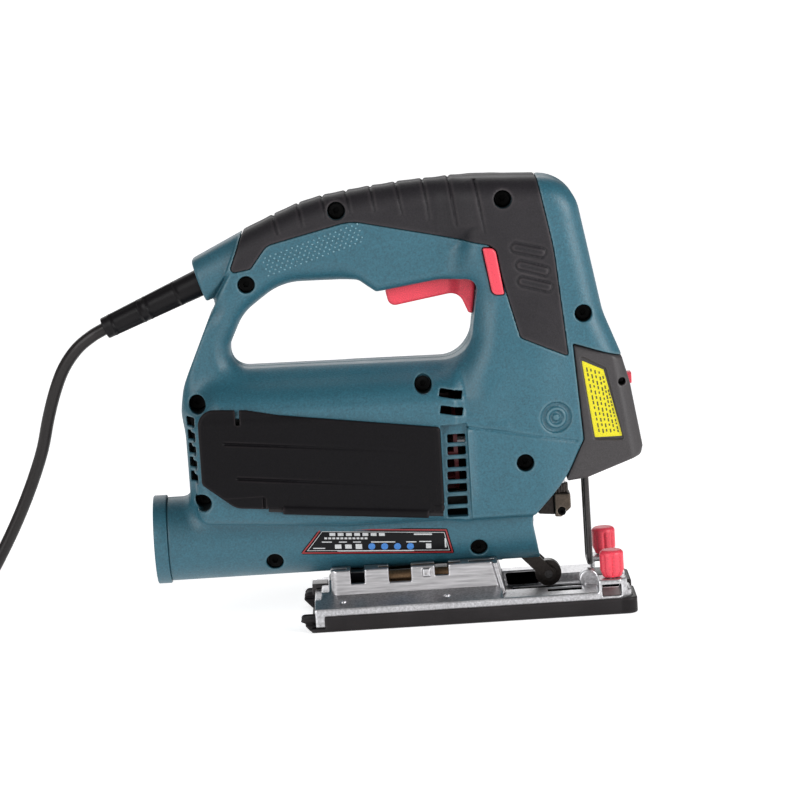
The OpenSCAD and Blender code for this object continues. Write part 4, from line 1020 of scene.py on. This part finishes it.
def add_cradle():
    """The cradle under the tube, with notches along its walls and a lip at the front."""
    block = Block((-71.5, -27.5, 11), (20, 27.5, 29), 0.45)
    x, y, z = block.x, block.y, block.z
    across = np.abs(y)
    side = [(-70, 11.6, 0.3), (16.3, 11.6, 0.3), (12.4, 27.8, 0.8), (-70, 27.8, 0.8)]
    outer = plate(block.flat(side), across, 24, 0.8)
    corner = np.hypot(np.maximum(-66.6 - x, 0), np.maximum(across - 20.6, 0)) - 3.4
    outer = np.maximum(outer, np.where(x > -66.6, -9, corner))
    edge = (x - 16.3) * 0.972 + (z - 11.5) * 0.234
    lip = both(np.maximum(span(edge, -1.6, 0.3), across - 26.2), np.maximum(11.7 - z, z - 27.6), 0.6)
    outer = join(outer, lip, 1.6)
    tube = np.hypot(y, z - TUBE_Z) - TUBE_R - 0.3
    field = cut(outer, tube, 0.4)
    inside = np.maximum(np.maximum(span(x, -71, 12), across - 21), 21 + 3.3 - np.hypot(y, z - TUBE_Z))
    inside = np.maximum(inside, -np.minimum(span(x, -62, -46), np.abs(x + 3) - 2))
    field = cut(field, inside, 0.4)
    for x0, x1, low, deep in ((-59.9, -53.2, 20.8, 16), (-40.9, -30.0, 20.5, 0), (-18.0, -11.3, 22.5, 0)):
        field = cut(field, np.maximum(np.maximum(span(x, x0, x1), low - z), deep - across), 0.7)
    field = cut(field, np.maximum(span(x, -59.9, -53.2), 25.4 - z), 0.5)
    field = cut(field, np.maximum(np.maximum(span(x, -66, -54), across - 11), z - 21.5), 0.4)
    bolt = np.maximum(np.maximum(span(x, -24.5, -20.1), span(z, 22.2, 26.6)), span(across, 23, 25.4)) + 0.3
    bolt = bolt + 0.5 * ease((1.3 - np.hypot(x + 22.3, z - 24.4)) / 0.5) * ease((across - 24.6) / 0.4)
    field = join(field, bolt, 0.4)
    shell_piece("cradle_casting", block, field, outer, BRUSHED, "shoe", ("cradle",))
    for side, sign in (("left", 1), ("right", -1)):
        rows = [(-46, 0.3), (-46, 2.9), (-45.7, 3.2), (-8.3, 3.2), (-8, 2.9), (-8, 0.3)]
        lathe(
            "cradle_bar_" + side, rows, 28, lambda along, a, b: (along, sign * 15.0 + a, 21.6 + b), BRONZE,
            "shoe",
        )


def add_clamp():
    """The blade clamp under the plunger and the dark release lever behind it."""
    block = Block((42, -8, 43), (54, 8, 64), 0.3)
    x, y, z = block.x, block.y, block.z
    across = np.abs(y)
    side = [(44, 44.9, 0.6), (47.2, 44.7, 0.6), (52.2, 49.2, 0.8), (52.2, 56.4, 1), (44, 56.8, 0.8)]
    field = plate(block.flat(side), across, 6.0, 0.8)
    field = cut(field, np.maximum(across - 0.8, z - 50.5), 0.3)
    field = cut(field, np.maximum(np.hypot(x - 47.5, z - 47.6) - 2.1, y + 0.8), 0.3)
    round_place = np.hypot(x - 46.5, y)
    knurl = 0.25 * np.cos(20 * np.arctan2(y, x - 46.5))
    shell_piece("clamp_block", block, field, field, CLAMP, "plunger", ("blade_clamp",))
    field = both(round_place - 4.7 - knurl, span(z, 56.4, 61.2), 0.5)
    shell_piece("clamp_collar", block, field, field, BURNISHED, "plunger")
    block = Block((34, -5, 44), (45, 5, 60), 0.35)
    lever = [(35.4, 46.4, 1.2), (44.2, 45.6, 0.5), (44.2, 58, 1), (40.8, 58, 2), (36.6, 52.5, 3)]
    field = plate(block.flat(lever), np.abs(block.y), 3.6, 0.9)
    shell_piece("clamp_lever", block, field, field, BURNISHED, "plunger")


add_shoe()
add_overshoe()
add_cradle()
add_clamp()


def add_guard():
    bend, corner = 3.0, []
    for k in range(7):
        a = math.pi / 2 * k / 6
        corner.append((60, -9 + bend - bend * math.cos(a), 21 + bend - bend * math.sin(a)))
    points = [(60, -9, 70), (60, -9, 55), (60, -9, 40)] + corner
    points += [(60, 0, 21)] + [(60, -p[1], p[2]) for p in reversed(corner)]
    points += [(60, 9, 40), (60, 9, 55), (60, 9, 70)]
    smooth_curve("guard_wire", points, 1.5, DARK_STEEL, "housing", ("finger_guard",))


add_guard()


def add_fence_knob(side):
    """A fluted knob with a domed top on a short steel post."""
    ribs, radius, y = 8, 6.0, {"left": 31, "right": -31}[side]
    rows = [(18.0, 0.5), (18.0, 4.2), (18.3, 4.6)]

    def fluted(base, depth):
        return lambda angle: base - depth * (0.5 + 0.5 * math.cos(ribs * angle)) ** 5

    for i in range(13):
        swell = radius - 1.1 * float(ease((4 - i) / 4))
        rows.append((18.6 + i * 0.78, fluted(swell, 0.8)))
    rows += [(28.5, fluted(radius, 0.7)), (29.0, fluted(radius, 0.4))]
    for i in range(1, 9):
        a = math.pi / 2 * i / 8
        rows.append((29.3 + 2.2 * math.sin(a), radius - 2.2 + 2.2 * math.cos(a) - (2.2 if i == 8 else 0)))

    def place(along, a, b):
        return (69.5 + a, y + b, along)

    lathe("fence_knob_" + side + "_cap", rows, 80, place, RED, "fence_knob_" + side, ("fence_knob_" + side,))
    post = [(14.9, 0.3), (14.9, 2.4), (15.2, 2.5), (17.9, 2.5), (18.0, 0.3)]
    lathe("fence_knob_" + side + "_post", post, 32, place, STEEL, "fence_knob_" + side)


add_fence_knob("right")
add_fence_knob("left")

# ---------- labels ----------


def sheet_piece(name, corners, place, material, lift):
    """A thin patch over an outline, laid on a surface by place(x, z, lift)."""
    points = outline(corners, 15)
    work = bmesh.new()
    ring = [work.verts.new((x, 0, z)) for x, z in points]
    work.faces.new(ring)
    low, high = min(p[1] for p in points), max(p[1] for p in points)
    for i in range(1, 12):
        cut_z = low + (high - low) * i / 12
        bmesh.ops.bisect_plane(work, geom=work.verts[:] + work.edges[:] + work.faces[:],
                               plane_co=(0, 0, cut_z), plane_no=(0, 0, 1))
    for v in work.verts:
        v.co = Vector(place(v.co.x, v.co.z, lift)) * MM
    mesh = bpy.data.meshes.new(name)
    work.to_mesh(mesh)
    work.free()
    mesh.materials.append(material)
    piece = bpy.data.objects.new(name, mesh)
    solid = piece.modifiers.new("thickness", "SOLIDIFY")
    solid.thickness, solid.offset = 0.08 * MM, 0
    SCENE.collection.objects.link(piece)
    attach(piece, "housing")
    return piece


def on_tube(x, z, lift):
    r = TUBE_R + 0.02 + lift
    return (x, -math.sqrt(max(r * r - (z - TUBE_Z) ** 2, 0)), z)


def on_nose(x, z, lift):
    return (x, -NOSE_HALF + 1.3 - 0.04 - lift, z)


def shrunk(corners, by):
    """An outline moved inwards by a distance."""
    made = []
    count = len(corners)
    for i in range(count):
        a, b, c = (Vector(corners[(i + k) % count][:2]) for k in (-1, 0, 1))
        u, v = (b - a).normalized(), (c - b).normalized()
        s = Vector((-u.y - v.y, u.x + v.x))
        q = b + s * (2 * by / s.dot(s))
        made.append((q.x, q.y, max(0.2, corners[i][2] - by)))
    return made


def bar(cx, cz, length, height, slope=0.0):
    dx, dz = length / 2, height / 2
    k = math.tan(slope)
    return [
        (cx - dx, cz - dz - dx * k, 0.1), (cx + dx, cz - dz + dx * k, 0.1), (cx + dx, cz + dz + dx * k, 0.1),
        (cx - dx, cz + dz - dx * k, 0.1),
    ]


def disc(cx, cz, radius, sides=20):
    return [
        (cx + radius * math.cos(2 * math.pi * k / sides), cz + radius * math.sin(2 * math.pi * k / sides), 0)
        for k in range(sides)
    ]


def add_labels():
    plate_edge = [(-84.7, 36.5, 1), (-7.6, 31.6, 1), (-10.6, 45.3, 1), (-73.6, 49.7, 1)]
    sheet_piece("plate_base", plate_edge, on_tube, LABEL_BLACK, 0.05)
    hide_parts("labels")
    rings = ((0.5, 1.1, LABEL_RED), (1.9, 2.15, LABEL_WHITE))
    for n, (outside, inside, material) in enumerate(rings):
        a, b = shrunk(plate_edge, outside), shrunk(plate_edge, inside)
        for i in range(4):
            j = (i + 1) % 4
            strip = [(*a[i][:2], 0), (*a[j][:2], 0), (*b[j][:2], 0), (*b[i][:2], 0)]
            sheet_piece(f"plate_rim_{n}_{i}", strip, on_tube, material, 0.15)
    slope = math.atan2(-4.9, 77.1)

    def on_plate(u, v):
        """A place on the plate: u along it from its left edge, v up from its lower edge."""
        return -84.7 + u * math.cos(slope) - v * math.sin(slope) * 0, 36.5 + u * math.sin(slope) + v

    marks = []
    for u, v, length, height in (
        (14, 6.6, 5, 0.5), (22, 6.6, 4, 0.5), (29, 6.6, 4, 0.5), (42, 6.6, 12, 0.5), (56, 6.6, 5, 0.5),
        (63, 6.8, 6, 0.5), (62, 10.6, 9, 0.7), (10, 3.3, 6, 0.5), (38, 1.75, 38, 0.35), (73, 6.0, 0.8, 5),
        (19.5, 4.2, 3.2, 2.2), (24.6, 4.2, 3.2, 2.2), (29.8, 4.2, 3.2, 2.6), (64.5, 4.4, 2.6, 2.6),
    ):
        cx, cz = on_plate(u, v)
        marks.append((bar(cx, cz, length, height, slope), LABEL_WHITE))
    for first, v, width, height, number in ((17.0, 10.5, 4.1, 1.5, 7), (13.6, 8.5, 2.0, 0.9, 11)):
        for k in range(number):
            cx, cz = on_plate(first + width * k, v)
            marks.append((bar(cx, cz, width * 0.7, height, slope), LABEL_WHITE))
    for u in (36.2, 42.6, 49.0, 55.4):
        cx, cz = on_plate(u, 4.2)
        marks.append((disc(cx, cz, 1.75), LABEL_BLUE))
    for n, (shape, material) in enumerate(marks):
        sheet_piece(f"plate_mark_{n}", shape, on_tube, material, 0.22)
    sheet_piece("nose_label_base", NOSE_LABEL, on_nose, YELLOW, 0.05)
    columns = (
        ((62.9, 121.8), (67.6, 88.0)), ((64.9, 121.0), (69.6, 87.9)), ((66.9, 120.2), (71.4, 87.8)),
        ((68.9, 119.4), (73.3, 87.8)), ((70.7, 117.0), (75.1, 87.7)), ((73.0, 110.0), (77.0, 87.7)),
    )
    for n, (a, b) in enumerate(columns):
        u = (Vector(b) - Vector(a)).normalized()
        w = Vector((-u.y, u.x)) * 0.34
        words = 12
        for k in range(words):
            p = Vector(a).lerp(Vector(b), (k + 0.1) / words)
            q = Vector(a).lerp(Vector(b), (k + 0.88 - 0.35 * ((k * 7 + n * 3) % 5) / 4) / words)
            strip = [(*(p + w), 0), (*(p - w), 0), (*(q - w), 0), (*(q + w), 0)]
            sheet_piece(f"nose_mark_{n}_{k}", strip, on_nose, PRINT, 0.12)


add_labels()

# ---------- small details ----------


def add_dots():
    """Rows of small raised dots on the right side of the handle."""
    work = bmesh.new()
    along, across = Vector((0.958, 0.287)), Vector((-0.287, 0.958))
    for row in range(6):
        for column in range(18):
            p = Vector((-90.9, 176.4)) + along * (2.85 * column + 1.42 * (row % 2)) + across * 1.75 * row
            if p.x + (p.y - 185) * 0.3 > -40.5:
                continue
            for side in (-1, 1):
                y = housing_block.surface(housing_outer, p.x, p.y)
                place = Matrix.Translation(Vector((p.x, -side * (y + 0.05) if side > 0 else y + 0.05, p.y)) * MM)
                bmesh.ops.create_icosphere(work, subdivisions=2, radius=0.58 * MM, matrix=place)
    mesh = bpy.data.meshes.new("handle_dots")
    work.to_mesh(mesh)
    work.free()
    # The dots take the lighter teal of painted highlight.
    mesh.materials.append(DOTS_PAINTED_HIGHLIGHT)
    mesh.polygons.foreach_set("use_smooth", [True] * len(mesh.polygons))
    piece = bpy.data.objects.new("handle_dots", mesh)
    SCENE.collection.objects.link(piece)
    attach(piece, "housing")


add_dots()

# ---------- floor and light ----------


def add_floor():
    mesh = bpy.data.meshes.new("floor")
    size = 30.0
    mesh.from_pydata([(-size, -size, 0), (size, -size, 0), (size, size, 0), (-size, size, 0)], [], [(0, 1, 2, 3)])
    material = bpy.data.materials.new("floor")
    material.use_nodes = True
    bsdf = material.node_tree.nodes["Principled BSDF"]
    bsdf.inputs["Base Color"].default_value = (0.82, 0.82, 0.825, 1)
    bsdf.inputs["Roughness"].default_value = 0.9
    bsdf.inputs["Specular IOR Level"].default_value = 0.1
    bsdf.inputs["Emission Color"].default_value = (1, 1, 1, 1)
    bsdf.inputs["Emission Strength"].default_value = 0.66
    mesh.materials.append(material)
    floor = bpy.data.objects.new("floor", mesh)
    floor.location.z = -0.0002
    SCENE.collection.objects.link(floor)
    floor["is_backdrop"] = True


def add_lamp(name, place, aim, size, power, colour=(1, 1, 1)):
    data = bpy.data.lights.new(name, "AREA")
    data.shape, data.size, data.energy, data.color = "DISK", size, power, colour
    lamp = bpy.data.objects.new(name, data)
    lamp.location = place
    lamp.rotation_mode = "QUATERNION"
    lamp.rotation_quaternion = (Vector(aim) - Vector(place)).to_track_quat("-Z", "Y")
    SCENE.collection.objects.link(lamp)


def add_sun(name, place, spread, power):
    data = bpy.data.lights.new(name, "SUN")
    data.angle, data.energy = math.radians(spread), power
    lamp = bpy.data.objects.new(name, data)
    lamp.rotation_mode = "QUATERNION"
    lamp.rotation_quaternion = (-Vector(place)).to_track_quat("-Z", "Y")
    SCENE.collection.objects.link(lamp)


add_floor()
add_sun("key", (-0.75, -1.0, 0.42), 40, 1.55)
add_lamp("fill", (0.75, -0.5, 0.42), (0.03, 0, 0.13), 0.5, 6.6)
add_sun("back", (-0.2, 1.0, 0.55), 50, 0.9)
world = bpy.data.worlds.new("studio")
world.use_nodes = True
world.node_tree.nodes["Background"].inputs["Color"].default_value = (1, 1, 1, 1)
world.node_tree.nodes["Background"].inputs["Strength"].default_value = 0.2
SCENE.world = world
SCENE.view_settings.view_transform = "Standard"

# ---------- sizes ----------

boxes = {"cad": CAD_BOX, "visual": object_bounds()}
{k: [list(corner) for corner in v] for k, v in boxes.items()}
